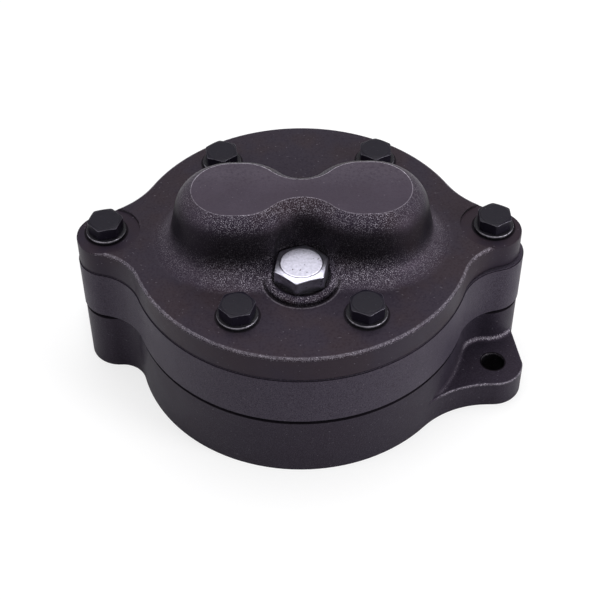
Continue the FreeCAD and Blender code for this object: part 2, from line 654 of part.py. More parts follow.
def make_boss():
    """The figure eight: each lobe is the side section turned about its outer and inner rounds,
    with a straight run between, and the waist is a diamond prism between the four round
    centres, hollowed by the same section turned about the waist's own centres."""
    inner, outer = size("lobe_inner"), size("lobe_outer")
    radius, waist = size("lobe_radius"), size("waist_half")
    height = size("boss_height")
    reach = boss_profile()["reach"]
    waist_radius = (inner**2 + waist**2 - radius**2) / (2 * (radius - waist))
    waist_y = waist + waist_radius
    sweep = math.degrees(math.atan2(waist_y, inner))
    up = Vector(0, 0, 1)
    solids = []
    for side in (1, -1):
        for turn in (1, -1):
            def at_side(point, turn=turn):
                return Vector(0, turn * (radius + point[0]), point[1])
            face = boss_section(Vector(0, 0, 0), at_side)
            end = face.copy()
            end.translate(Vector(side * outer, 0, 0))
            solids.append(end.revolve(Vector(side * outer, 0, 0), up, -side * turn * 90))
            run = face.copy()
            run.translate(Vector(side * inner, 0, 0))
            if outer - inner > 1e-6:
                solids.append(run.extrude(Vector(side * (outer - inner), 0, 0)))
            solids.append(run.revolve(Vector(side * inner, 0, 0), up, side * turn * (90 - sweep)))
    corners = [Vector(inner, 0, 0), Vector(0, waist_y, 0), Vector(-inner, 0, 0), Vector(0, -waist_y, 0)]
    diamond = Part.Face(Part.makePolygon(corners + corners[:1])).extrude(Vector(0, 0, height))
    last_slope = 0.0
    if reach > waist_radius:
        last_slope = math.asin((reach - waist_radius) / size("skirt_radius"))
    for turn in (1, -1):
        centre = Vector(0, turn * waist_y, 0)
        diamond = diamond.cut(waist_cutter(centre, waist_radius, last_slope, height))
    solids.append(diamond)
    whole = solids[0].fuse(solids[1:])
    return whole.removeSplitter()


def waist_cutter(centre, waist_radius, last_slope, height):
    """What the waist's hollow side leaves free: the section turned round outside the metal. The
    skirt ends at last_slope on the axis where there is no more room for it."""
    side = boss_profile()
    skirt_middle = side["on_skirt"]((side["wall_slope"] + last_slope) / 2)
    skirt_end = side["on_skirt"](last_slope)
    points = [side["start"], side["crown_middle"], side["wall_top"], side["wall_low"],
              skirt_middle, skirt_end]
    places = [Vector(centre.x + waist_radius - offset, centre.y, level) for offset, level in points]
    if last_slope > 0:
        places[5].x = centre.x
    axis_low = Vector(centre.x, centre.y, places[5].z)
    axis_top = Vector(centre.x, centre.y, height + 1)
    over = Vector(places[0].x + 1, centre.y, height + 1)
    rim = Vector(places[0].x + 1, centre.y, height)
    edges = [Part.LineSegment(axis_top, over).toShape(), Part.LineSegment(over, rim).toShape(),
             Part.LineSegment(rim, places[0]).toShape(),
             Part.Arc(places[0], places[1], places[2]).toShape(),
             Part.LineSegment(places[2], places[3]).toShape(),
             Part.Arc(places[3], places[4], places[5]).toShape()]
    if (places[5] - axis_low).Length > 1e-6:
        edges.append(Part.LineSegment(places[5], axis_low).toShape())
    edges.append(Part.LineSegment(axis_low, axis_top).toShape())
    return Part.Face(Part.Wire(edges)).revolve(centre, Vector(0, 0, 1), 360)


def make_cover_casting():
    """The rough cover on its own joint face: the layer with its rounded rim, the figure-eight
    boss and the round boss under the plug."""
    thick = size("cover_thick")
    outline = layer_outline(right_less=size("cover_ear_less"))
    wire = Part.Wire([arc.toShape() for arc in outline])
    slab = Part.Face(wire).extrude(Vector(0, 0, thick))
    rim = [edge for edge in slab.Edges if edge.BoundBox.ZMin > thick - LEVEL]
    slab = slab.makeFillet(size("rim_round"), rim)
    low_rim = [edge for edge in slab.Edges if edge.BoundBox.ZMax < LEVEL]
    slab = slab.makeChamfer(size("joint_bevel"), low_rim)
    boss = make_boss()
    boss.translate(Vector(size("boss_shift"), gear_y, thick))
    plug_boss = Part.makeCylinder(size("plug_boss_radius"), size("plug_boss_height") + thick / 2,
                                  Vector(0, size("plug_y"), thick / 2))
    edges = [edge for edge in plug_boss.Edges if edge.BoundBox.ZMin > thick]
    plug_boss = plug_boss.makeFillet(size("plug_boss_round"), edges)
    return slab.fuse([boss, plug_boss]).removeSplitter()


def make_cover():
    body = machined("cover", make_cover_casting())
    thick = "Sizes.cover_thick"
    top = "(Sizes.cover_thick + Sizes.plug_boss_height)"
    plug = ("0", "Sizes.plug_y")
    seat = f"({top} - Sizes.plug_seat_deep)"
    drill(body, EAR_BOLT_PLACES, "Sizes.spot_radius", f"{thick} - Sizes.spot_deep",
          f"Sizes.spot_deep + {PAST}")
    drill(body, BOLT_PLACES, "Sizes.bolt_radius + Sizes.bolt_hole_slip", "0", thick)
    drill(body, DOWEL_PLACES, "Sizes.dowel_radius", "0", "Sizes.dowel_in_cover")
    drill(body, [DRIVE_PLACE, DRIVEN_PLACE], BUSHING_RADIUS, "0",
          "Sizes.cover_bushing_long + Sizes.end_play")
    drill(body, [plug], "Sizes.plug_seat_radius", seat, "Sizes.boss_height")
    drill(body, [plug], "Sizes.plug_ring_radius", seat, "Sizes.plug_ring_deep", up=False)
    drill(body, [plug], "Sizes.plug_radius + Sizes.thread_slip", seat,
          f"{seat} - Sizes.valve_seat_thick", up=False)
    drill(body, [plug], "Sizes.valve_port_radius", "0", f"Sizes.valve_seat_thick + {PAST}")
    gallery_height = "Sizes.valve_seat_thick + Sizes.gallery_radius"
    gallery = sketch_on(body, role="XZ_Plane")
    circle(gallery, "0", gallery_height, "Sizes.gallery_radius")
    gallery.setExpression("AttachmentOffset.Base.z", "-Sizes.plug_y")
    pocket(body, gallery, "Sizes.inlet_y + Sizes.gear_line_y - Sizes.plug_y", up=False)
    drill(body, [INLET_PLACE], "2 * Sizes.gallery_radius", "0", gallery_height)
    set_place(body, height=COVER_Z)
    return body


# Gears: involute teeth on a keyed hub

def gear_tooth_edges(tooth_number):
    """One tooth and the gap after it. A flank is the involute of the base circle: at radius r its
    roll angle is a = sqrt((r / base)^2 - 1) and its polar angle grows by a - atan(a). Below the
    base circle the flank runs straight to the root."""
    count = int(size("tooth_count"))
    pressure = math.radians(size("pressure_angle"))
    base = pitch_radius * math.cos(pressure)
    root = pitch_radius - module * size("dedendum_share")
    half_tooth = (math.pi * module / 2 - size("backlash")) / 2 / pitch_radius

    def involute(radius):
        roll = math.sqrt(max((radius / base)**2 - 1, 0))
        return roll - math.atan(roll)

    def half_angle(radius):
        return half_tooth + involute(pitch_radius) - involute(radius)

    def place(radius, angle):
        turn = tooth_number * math.tau / count + angle
        return Vector(radius * math.cos(turn), radius * math.sin(turn), 0)

    start = max(base, root)
    steps = 5
    crowding = 1.5
    radii = [start + (tip_radius - start) * (k / steps)**crowding for k in range(steps + 1)]
    rising = Part.BSplineCurve()
    rising.interpolate([place(radius, -half_angle(radius)) for radius in radii])
    falling = Part.BSplineCurve()
    falling.interpolate([place(radius, half_angle(radius)) for radius in reversed(radii)])
    tip = half_angle(tip_radius)
    low = half_angle(start)
    pitch = math.tau / count
    edges = []
    if start > root + 1e-6:
        edges.append(Part.LineSegment(place(root, -low), place(start, -low)).toShape())
    edges.append(rising.toShape())
    edges.append(Part.Arc(place(tip_radius, -tip), place(tip_radius, 0), place(tip_radius, tip)).toShape())
    edges.append(falling.toShape())
    if start > root + 1e-6:
        edges.append(Part.LineSegment(place(start, low), place(root, low)).toShape())
    edges.append(Part.Arc(place(root, low), place(root, pitch / 2), place(root, pitch - low)).toShape())
    return edges


def gear_turn(side):
    """How far a gear and the keyway of its shaft are turned at rest."""
    return 180 if side > 0 else 180 / size("tooth_count")


def make_gear(label, side):
    """A gear between its wear plates. The driven one is turned half a pitch, so that a gap
    faces the drive gear's tooth on the line between the axes."""
    edges = []
    for tooth in range(int(size("tooth_count"))):
        edges += gear_tooth_edges(tooth)
    height = size("plate_thick") - 2 * size("wear_plate_thick") - 2 * size("side_gap")
    blank = Part.Face(Part.Wire(edges)).extrude(Vector(0, 0, height))
    bore = Part.makeCylinder(size("shaft_radius") + size("running_gap"), height)
    half_key = size("key_width") / 2 + size("running_gap")
    key_top = size("shaft_radius") + size("key_height") / 2 + size("running_gap")
    keyway = Part.makeBox(2 * half_key, key_top, height, Vector(-half_key, 0, 0))
    gear = doc.addObject("Part::Feature", label)
    gear.Label = label
    gear.Shape = blank.cut(bore).cut(keyway)
    foot = plate_z + size("wear_plate_thick") + size("side_gap")
    gear.Placement = Placement(Vector(side * size("gear_offset"), gear_y, foot),
                               Rotation(Vector(0, 0, 1), gear_turn(side)))
    return gear


KEY_MIDDLE = f"({PLATE_Z} + Sizes.plate_thick / 2)"


def make_shaft(label, side, end):
    """A shaft with its keyway. The drive shaft steps down to the lip seal and carries the
    splined socket in that end. end is its foot above the mounting face."""
    body = new_body(label)
    top = f"({COVER_Z} + Sizes.cover_bushing_long - {end})"
    if side > 0:
        step = f"({BORE_STEP} + Sizes.running_gap - {end})"
        turned(body, [("0", "0"), ("Sizes.seal_land_radius", "0"), ("Sizes.seal_land_radius", step),
                      ("Sizes.shaft_radius", step), ("Sizes.shaft_radius", top), ("0", top)])
        drill(body, [("0", "0")], "Sizes.spline_inner_radius", "0", "Sizes.spline_deep")
        slot = sketch_on(body)
        half = "Sizes.spline_slot / 2"
        polygon(slot, [("0", f"-{half}"), ("Sizes.spline_outer_radius", f"-{half}"),
                       ("Sizes.spline_outer_radius", half), ("0", half)])
        cut = pocket(body, slot, "Sizes.spline_deep")
        ring = body.newObject("PartDesign::PolarPattern", "Splines")
        ring.Originals = [cut]
        ring.Axis = (slot, ["N_Axis"])
        ring.Angle = 360
        ring.setExpression("Occurrences", "Sizes.spline_count")
        body.Tip = ring
        doc.recompute()
    else:
        turned(body, [("0", "0"), ("Sizes.shaft_radius", "0"), ("Sizes.shaft_radius", top), ("0", top)])
    seat = sketch_on(body, f"{KEY_MIDDLE} - {end} - Sizes.key_long / 2")
    half = "(Sizes.key_width / 2)"
    floor = "(Sizes.shaft_radius - Sizes.key_height / 2)"
    polygon(seat, [(f"-{half}", floor), (half, floor), (half, "2 * Sizes.shaft_radius"),
                   (f"-{half}", "2 * Sizes.shaft_radius")])
    pocket(body, seat, "Sizes.key_long")
    body.Placement = Placement(Vector(0, 0, 0), Rotation(Vector(0, 0, 1), gear_turn(side)))
    set_place(body, f"{SIGNS[side]}Sizes.gear_offset", "Sizes.gear_line_y", end)
    return body


def make_key(label, side):
    key = doc.addObject("Part::Box", label)
    key.Label = label
    key.setExpression("Length", "Sizes.key_width")
    key.setExpression("Width", "Sizes.key_height")
    key.setExpression("Height", "Sizes.key_long")
    doc.recompute()
    turn = Rotation(Vector(0, 0, 1), gear_turn(side))
    corner = Vector(-size("key_width") / 2, size("shaft_radius") - size("key_height") / 2, 0)
    middle = plate_z + size("plate_thick") / 2 - size("key_long") / 2
    axis = Vector(side * size("gear_offset"), gear_y, middle)
    key.Placement = Placement(axis.add(turn.multVec(corner)), turn)
    return key


def make_bushing(label, side, length, height):
    body = new_body(label)
    inner = "Sizes.shaft_radius + Sizes.running_gap"
    turned(body, [(inner, "0"), (BUSHING_RADIUS, "0"), (BUSHING_RADIUS, length), (inner, length)])
    set_place(body, f"{SIGNS[side]}Sizes.gear_offset", "Sizes.gear_line_y", height)
    return body


def make_wear_plate(label, height):
    """A bronze plate that fills the figure-eight pocket at one side of the gears, notched for
    the ports."""
    thick = size("wear_plate_thick")
    edge = tip_radius + size("tip_gap") - size("plate_slip")
    hole = size("shaft_radius") + size("bolt_hole_slip")
    axes = [Vector(side * size("gear_offset"), gear_y, 0) for _, side in SIDES]
    discs = [Part.makeCylinder(edge, thick, axis) for axis in axes]
    holes = [Part.makeCylinder(hole, thick, axis) for axis in axes]
    ports = [Part.makeCylinder(size("inlet_radius"), thick, Vector(0, gear_y + size("inlet_y"), 0)),
             Part.makeCylinder(size("outlet_radius"), thick, Vector(0, gear_y - size("outlet_y"), 0))]
    plate = doc.addObject("Part::Feature", label)
    plate.Label = label
    plate.Shape = discs[0].fuse(discs[1]).removeSplitter().cut(holes + ports)
    plate.Placement = Placement(Vector(0, 0, height), Rotation())
    return plate


def make_joint_seal(label, height):
    """Rubber ring of the groove round the gears."""
    body = new_body(label)
    pad(body, draw_seal_track(body, "0", size("plate_slip")), "Sizes.joint_ring_deep")
    set_place(body, height=height)
    return body


def make_port_seal(label, place, radius):
    body = new_body(label)
    inner = f"({radius} + Sizes.port_ring_gap + Sizes.plate_slip)"
    outer = f"({radius} + Sizes.port_ring_gap + Sizes.port_ring_wide - Sizes.plate_slip)"
    turned(body, [(inner, "0"), (outer, "0"), (outer, "Sizes.port_ring_deep"),
                  (inner, "Sizes.port_ring_deep")])
    set_place(body, place[0], place[1])
    return body


# Lip seal of the drive shaft, in two pieces, and the ring that keeps it in

def make_seal_case():
    body = new_body("shaft_seal_case")
    sheet_wall = "Sizes.seal_sheet"
    outer = "Sizes.seal_radius"
    wall = f"(Sizes.seal_radius - {sheet_wall})"
    shelf = "(Sizes.seal_land_radius + Sizes.seal_shelf)"
    turned(body, [(shelf, "Sizes.seal_thick"), (shelf, f"Sizes.seal_thick - {sheet_wall}"),
                  (wall, f"Sizes.seal_thick - {sheet_wall}"), (wall, "0"), (outer, "0"),
                  (outer, "Sizes.seal_thick")])
    set_place(body, *DRIVE_PLACE, SEAL_FOOT)
    return body


def make_seal_lip():
    """Rubber between the case and the shaft, with its lip drawn in to the shaft."""
    body = new_body("shaft_seal_lip")
    top = "(Sizes.seal_thick - Sizes.seal_sheet)"
    wall = "(Sizes.seal_radius - Sizes.seal_sheet)"
    lip = "(Sizes.seal_land_radius + Sizes.running_gap)"
    toe = "(Sizes.seal_land_radius + Sizes.lip_thick)"
    turned(body, [(wall, top), ("(Sizes.seal_land_radius + Sizes.lip_root)", top),
                  (lip, f"{top} - Sizes.lip_edge"), (toe, "Sizes.lip_low"),
                  (f"({toe} + Sizes.lip_thick)", "Sizes.lip_low"),
                  ("(Sizes.seal_land_radius + Sizes.seal_shelf)", f"{top} - Sizes.lip_web"),
                  (wall, f"{top} - Sizes.lip_web")])
    set_place(body, *DRIVE_PLACE, SEAL_FOOT)
    return body


def make_snap_ring():
    """Internal snap ring: a flat open ring with two eyes beside its gap."""
    body = new_body("seal_snap_ring")
    outer = "(Sizes.seal_radius + Sizes.ring_bite - Sizes.plate_slip)"
    inner = f"({outer} - Sizes.ring_wide)"
    sketch = sketch_on(body)
    circle(sketch, "0", "0", outer)
    circle(sketch, "0", "0", inner)
    pad(body, sketch, "Sizes.ring_thick")
    eyes = sketch_on(body)
    eye_reach = f"({inner} - Sizes.ring_eye_in)"
    eye_x = f"({eye_reach} * cos(Sizes.ring_eye_angle))"
    eye_y = f"({eye_reach} * sin(Sizes.ring_eye_angle))"
    for sign in SIGNS.values():
        circle(eyes, f"{sign}{eye_x}", eye_y, "Sizes.ring_eye_radius")
    pad(body, eyes, "Sizes.ring_thick")
    gap = sketch_on(body)
    half_gap = "Sizes.ring_gap_half"
    far = "2 * Sizes.seal_radius"
    polygon(gap, [(f"-{half_gap}", "0"), (half_gap, "0"), (half_gap, far), (f"-{half_gap}", far)])
    pocket(body, gap, "Sizes.ring_thick")
    drill(body, [(eye_x, eye_y), (f"-{eye_x}", eye_y)], "Sizes.ring_eye_hole", "0", "Sizes.ring_thick")
    set_place(body, *DRIVE_PLACE, "Sizes.ring_inset")
    return body


# Fasteners: each node is a group of like solids

def hex_head(radius_flats, height, slope):
    """A hexagonal head on z = 0, one corner towards +X, whose upper corners are turned off by a
    cone that meets the flats' circle at the top."""
    corner = radius_flats / math.cos(math.radians(30))
    points = [Vector(corner * math.cos(math.radians(60 * k)), corner * math.sin(math.radians(60 * k)), 0)
              for k in range(7)]
    prism = Part.Face(Part.makePolygon(points)).extrude(Vector(0, 0, height))
    top_radius = radius_flats * size("head_flat")
    wide = top_radius + height / math.tan(math.radians(slope))
    cone = Part.makeCone(wide, top_radius, height)
    return prism.common(cone)


def group(label, solids):
    item = doc.addObject("Part::Feature", label)
    item.Label = label
    item.Shape = Part.makeCompound(solids)
    return item


def bolt_spots():
    """Where each cover bolt's washer sits, and how its head happens to be turned, degrees."""
    spots = []
    turns = {"ear": (31.0, 12.6), "front": (35.0, 12.0), "back": (28.0, 38.0)}
    ear_bolt = ear_centre().add(Vector(-size("ear_bolt_in"), size("ear_bolt_back"), 0))
    for side, turn in zip((1, -1), turns["ear"]):
        spots.append((Vector(side * ear_bolt.x, ear_bolt.y, face_z - size("spot_deep")), turn))
    for name in ("front", "back"):
        for side, turn in zip((1, -1), turns[name]):
            place = wall_point(f"{name}_bolt_edge", f"{name}_bolt_angle", side)
            spots.append((place.add(Vector(0, 0, face_z)), turn))
    return spots


def make_cover_bolts():
    head = hex_head(size("bolt_flats") / 2, size("bolt_head"), size("bolt_head_slope"))
    solids = []
    for spot, turn in bolt_spots():
        bolt = head.fuse(Part.makeCylinder(size("bolt_radius"), size("bolt_long"), Vector(0, 0, 0),
                                           Vector(0, 0, -1))).removeSplitter()
        bolt.Placement = Placement(spot.add(Vector(0, 0, size("washer_thick"))),
                                   Rotation(Vector(0, 0, 1), turn))
        solids.append(bolt)
    return group("cover_bolts", solids)


def make_washers():
    solids = []
    for spot, _ in bolt_spots():
        disc = Part.makeCylinder(size("washer_radius"), size("washer_thick"), spot)
        hole = Part.makeCylinder(size("bolt_radius") + size("bolt_hole_slip"), size("washer_thick"), spot)
        solids.append(disc.cut(hole))
    return group("bolt_washers", solids)


def make_dowels():
    length = size("dowel_in_base") + size("plate_thick") + size("dowel_in_cover")
    solids = []
    for name in ("front", "back"):
        foot = wall_point("dowel_edge", f"{name}_dowel_angle")
        foot.z = plate_z - size("dowel_in_base")
        pin = Part.makeCylinder(size("dowel_radius"), length, foot)
        ends = [edge for edge in pin.Edges if edge.BoundBox.ZLength < LEVEL]
        solids.append(pin.makeChamfer(size("dowel_bevel"), ends))
    return group("dowel_pins", solids)


# Relief valve: hollow hexagon plug, its seal ring, the sprung cup valve

PLUG_SEAT = f"({FACE_Z} + Sizes.plug_boss_height - Sizes.plug_seat_deep)"


def make_relief_plug():
    """The plug, on its seat: a hexagon head, a shank and the blind guide bore from below."""
    head = hex_head(size("plug_flats") / 2, size("plug_head"), size("plug_head_slope"))
    shank = Part.makeCylinder(size("plug_radius"), size("plug_long"), Vector(0, 0, -size("plug_long")))
    bore_top = size("plug_head") - size("spring_seat")
    bore = Part.makeCylinder(size("valve_radius") + size("running_gap"), size("plug_long") + bore_top,
                             Vector(0, 0, -size("plug_long")))
    plug = doc.addObject("Part::Feature", "relief_plug")
    plug.Label = "relief_plug"
    plug.Shape = head.fuse(shank).removeSplitter().cut(bore)
    seat = face_z + size("plug_boss_height") - size("plug_seat_deep")
    plug.Placement = Placement(Vector(0, size("plug_y"), seat),
                               Rotation(Vector(0, 0, 1), size("plug_turn")))
    return plug


def make_plug_ring():
    body = new_body("plug_seal_ring")
    inner = "(Sizes.plug_radius + Sizes.plate_slip)"
    outer = "(Sizes.plug_ring_radius - Sizes.plate_slip)"
    turned(body, [(inner, "0"), (outer, "0"), (outer, "Sizes.plug_ring_deep"),
                  (inner, "Sizes.plug_ring_deep")])
    set_place(body, "0", "Sizes.plug_y", f"{PLUG_SEAT} - Sizes.plug_ring_deep")
    return body


VALVE_FOOT = f"({COVER_Z} + Sizes.valve_seat_thick)"


def make_relief_valve():
    """A cup that slides in the plug: its cone closes the hole in the cover's seat wall and the
    spring stands on its floor."""
    body = new_body("relief_valve")
    pilot = "(Sizes.valve_port_radius - Sizes.valve_pilot_slip)"
    tip = f"({pilot} - Sizes.valve_pilot)"
    wide = "Sizes.valve_radius"
    inner = "(Sizes.valve_radius - Sizes.valve_wall)"
    floor = "(Sizes.valve_nose + Sizes.valve_floor)"
    turned(body, [("0", "-Sizes.valve_pilot"), (tip, "-Sizes.valve_pilot"), (pilot, "0"),
                  ("(Sizes.valve_port_radius + Sizes.valve_land)", "0"), (wide, "Sizes.valve_nose"),
                  (wide, "Sizes.valve_long"), (inner, "Sizes.valve_long"), (inner, floor), ("0", floor)])
    set_place(body, "0", "Sizes.plug_y", VALVE_FOOT)
    return body


def make_spring():
    """Wire wound on a helix between the valve's floor and the end of the plug's bore. Its section
    is a regular polygon whose flats touch the floor and the bore's end."""
    wire_radius = size("spring_wire")
    flats = int(size("spring_flats"))
    corner = wire_radius / math.cos(math.pi / flats)
    foot = cover_z + size("valve_seat_thick") + size("valve_nose") + size("valve_floor")
    seat = face_z + size("plug_boss_height") - size("plug_seat_deep")
    top = seat + size("plug_head") - size("spring_seat")
    rise = top - foot - 2 * wire_radius
    radius = size("spring_radius")
    helix = Part.makeHelix(rise / size("spring_turns"), rise, radius)
    turns = [math.tau * (k + 0.5) / flats for k in range(flats + 1)]
    section = Part.makePolygon([Vector(radius + corner * math.cos(turn), 0, corner * math.sin(turn))
                                for turn in turns])
    spring = doc.addObject("Part::Feature", "relief_spring")
    spring.Label = "relief_spring"
    spring.Shape = Part.Wire(helix).makePipeShell([section], True, True)
    spring.Placement = Placement(Vector(0, size("plug_y"), foot + wire_radius), Rotation())
    return spring


# The pump, piece by piece

parts = [make_base(), make_gear_plate(), make_cover()]
for side_name, side in SIDES:
    parts.append(make_gear(f"{side_name}_gear", side))
    parts.append(make_key(f"{side_name}_key", side))
    parts.append(make_bushing(f"{side_name}_cover_bushing", side, "Sizes.cover_bushing_long", COVER_Z))
    parts.append(make_bushing(f"{side_name}_base_bushing", side, "Sizes.base_bushing_long",
                              f"{PLATE_Z} - Sizes.base_bushing_long"))
parts.append(make_shaft("drive_shaft", 1, "Sizes.shaft_recess"))
parts.append(make_shaft("driven_shaft", -1, f"({PLATE_Z} - Sizes.base_bushing_long)"))
parts.append(make_wear_plate("base_wear_plate", plate_z))
parts.append(make_wear_plate("cover_wear_plate", cover_z - size("wear_plate_thick")))
parts.append(make_joint_seal("base_joint_seal", PLATE_Z))
parts.append(make_joint_seal("cover_joint_seal", f"{COVER_Z} - Sizes.joint_ring_deep"))
parts.append(make_port_seal("inlet_port_seal", INLET_PLACE, "Sizes.inlet_radius"))
parts.append(make_port_seal("outlet_port_seal", OUTLET_PLACE, "Sizes.outlet_radius"))
parts += [make_seal_case(), make_seal_lip(), make_snap_ring()]
parts += [make_cover_bolts(), make_washers(), make_dowels()]
parts += [make_relief_plug(), make_plug_ring(), make_relief_valve(), make_spring()]
doc.recompute()

for item in doc.Objects:
    if "Invalid" in item.State or "Error" in item.State:
        raise RuntimeError(f"{item.Label} did not build: {item.State}")
for part in parts:
    if part.Shape.isNull() or not part.Shape.isValid() or part.Shape.Volume <= 0:
        raise RuntimeError(f"{part.Label} is not a sound solid")

os.makedirs("parts", exist_ok=True)
for part in parts:
    part.Shape.exportStep(f"parts/{part.Label}.step")
print(len(parts), "pieces written")
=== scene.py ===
import bpy
import math
import numpy as np
from mathutils import Matrix, Vector


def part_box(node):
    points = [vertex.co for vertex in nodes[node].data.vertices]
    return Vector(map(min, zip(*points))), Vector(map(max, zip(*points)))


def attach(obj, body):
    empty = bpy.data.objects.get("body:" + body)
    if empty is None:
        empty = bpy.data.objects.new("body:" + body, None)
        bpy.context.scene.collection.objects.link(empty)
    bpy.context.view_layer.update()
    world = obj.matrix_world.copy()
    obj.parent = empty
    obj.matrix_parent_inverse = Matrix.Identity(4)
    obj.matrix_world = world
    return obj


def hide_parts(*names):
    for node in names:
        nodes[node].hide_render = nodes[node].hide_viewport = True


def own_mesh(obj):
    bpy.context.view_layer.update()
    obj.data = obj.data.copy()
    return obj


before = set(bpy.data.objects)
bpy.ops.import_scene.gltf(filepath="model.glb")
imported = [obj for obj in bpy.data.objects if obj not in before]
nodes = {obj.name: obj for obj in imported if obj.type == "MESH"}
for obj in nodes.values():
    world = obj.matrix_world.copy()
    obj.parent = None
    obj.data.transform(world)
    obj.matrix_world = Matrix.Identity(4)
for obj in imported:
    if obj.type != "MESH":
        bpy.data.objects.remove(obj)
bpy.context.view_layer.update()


# Camera: it stands in front of the pump and above it, as in the photograph. The lens and its place
# were solved from the rim, the joint lines, the bolts and the ears, and it looks a little past its
# target, the middle of the cover's face.

FACE_HEIGHT = 0.0734
LENS = 84.31
SENSOR = 36.0
CAMERA_RISE = math.radians(45.09)
CAMERA_TURN = math.radians(-0.63)
CAMERA_ROLL = math.radians(-0.37)
CAMERA_FAR = 0.6361
CAMERA_SIDE = -0.00016
CAMERA_UP = -0.03026

back = Vector((math.sin(CAMERA_TURN) * math.cos(CAMERA_RISE),
               -math.cos(CAMERA_TURN) * math.cos(CAMERA_RISE),
               math.sin(CAMERA_RISE)))
sideways = Vector((math.cos(CAMERA_TURN), math.sin(CAMERA_TURN), 0))
upright = back.cross(sideways)
right = sideways * math.cos(CAMERA_ROLL) + upright * math.sin(CAMERA_ROLL)
above = upright * math.cos(CAMERA_ROLL) - sideways * math.sin(CAMERA_ROLL)
target = Vector((0, 0, FACE_HEIGHT))
stand = target + right * CAMERA_SIDE + above * CAMERA_UP + back * CAMERA_FAR
turned = Matrix((right, above, back)).transposed().to_4x4()
camera_data = bpy.data.cameras.new("camera")
camera_data.lens = LENS
camera_data.sensor_width = SENSOR
camera = bpy.data.objects.new("camera", camera_data)
bpy.context.scene.collection.objects.link(camera)
camera.matrix_world = Matrix.Translation(stand) @ turned
bpy.context.scene.camera = camera
bpy.context.scene.view_settings.view_transform = "Standard"


# Table and room: a matt white table much wider than the pump, a white room and three soft lamps.
# The photograph's own table was cut away, so this one is white to the eye and in reflections but
# gives back less light than it shows, and the pump's shadow on it is faint.

TABLE_HALF = 6.0
TABLE_SEEN = (0.37, 0.37, 0.373, 1)
TABLE_OWN = (0.67, 0.67, 0.67, 1)
TABLE_MIRRORED = (0.93, 0.93, 0.935, 1)
TABLE_GIVEN = (0.40, 0.40, 0.41, 1)
NO_LIGHT = (0, 0, 0, 1)
ROOM_LIGHT = 0.44
LAMP_AIM = Vector((0, 0, 0.05))
LAMPS = {
    "roof_lamp": dict(spot=(0.05, 0.25, 1.10), size=1.1, power=8.2),
    "left_lamp": dict(spot=(-0.95, -0.35, 0.75), size=0.7, power=3.2),
    "right_lamp": dict(spot=(1.0, -0.55, 0.42), size=0.5, power=8.5),
}


class Level:
    """A value that varies, such as a height or a grain on a surface. Sums, products and powers of
    such values add their nodes to the finish, or to the room, that they belong to."""

    def __init__(self, shading, socket):
        self.shading = shading
        self.socket = socket

    def work(self, operation, *values):
        """A Math node's result."""
        node = self.shading.node("ShaderNodeMath", {"operation": operation},
                                 dict(enumerate(values)))
        return Level(self.shading, node.outputs[0])

    def __add__(self, other):
        return self.work("ADD", self, other)

    def __radd__(self, other):
        return self.work("ADD", other, self)

    def __sub__(self, other):
        return self.work("SUBTRACT", self, other)

    def __rsub__(self, other):
        return self.work("SUBTRACT", other, self)

    def __mul__(self, other):
        return self.work("MULTIPLY", self, other)

    def __rmul__(self, other):
        return self.work("MULTIPLY", other, self)

    def __pow__(self, other):
        return self.work("POWER", self, other)

    def __abs__(self):
        return self.work("ABSOLUTE", self)

    def at_least(self, other):
        """The greater of two values."""
        return self.work("MAXIMUM", self, other)

    def at_most(self, other):
        """The lesser of two values."""
        return self.work("MINIMUM", self, other)

    def over(self, floor):
        """The part above a floor, or nothing."""
        return (self - floor).at_least(0.0)

    def rise(self, start, end):
        """A smooth step from 0 at start to 1 at end."""
        node = self.shading.node("ShaderNodeMapRange", {"interpolation_type": "SMOOTHSTEP"},
                                 {"Value": self, "From Min": start, "From Max": end})
        return Level(self.shading, node.outputs["Result"])

    def between(self, low, high, soft):
        """1 between two limits and 0 outside them, with soft ends."""
        return self.rise(low - soft, low + soft) * (1 - self.rise(high - soft, high + soft))


class Shading:
    """The nodes of a material or of the room, each made in the same way."""

    def __init__(self, owner):
        owner.use_nodes = True
        self.tree = owner.node_tree
        self.tree.nodes.clear()

    def node(self, kind, settings=None, sockets=None):
        """A node with its settings made first, then its sockets' values or links."""
        made = self.tree.nodes.new(kind)
        for key, value in (settings or {}).items():
            setattr(made, key, value)
        for key, value in (sockets or {}).items():
            self.feed(made, key, value)
        return made

    def feed(self, node, key, value):
        """Links a socket to a value that varies, or sets it to one that is the same all over."""
        source = value.socket if isinstance(value, Level) else value
        if isinstance(source, bpy.types.NodeSocket):
            self.tree.links.new(source, node.inputs[key])
        else:
            node.inputs[key].default_value = source


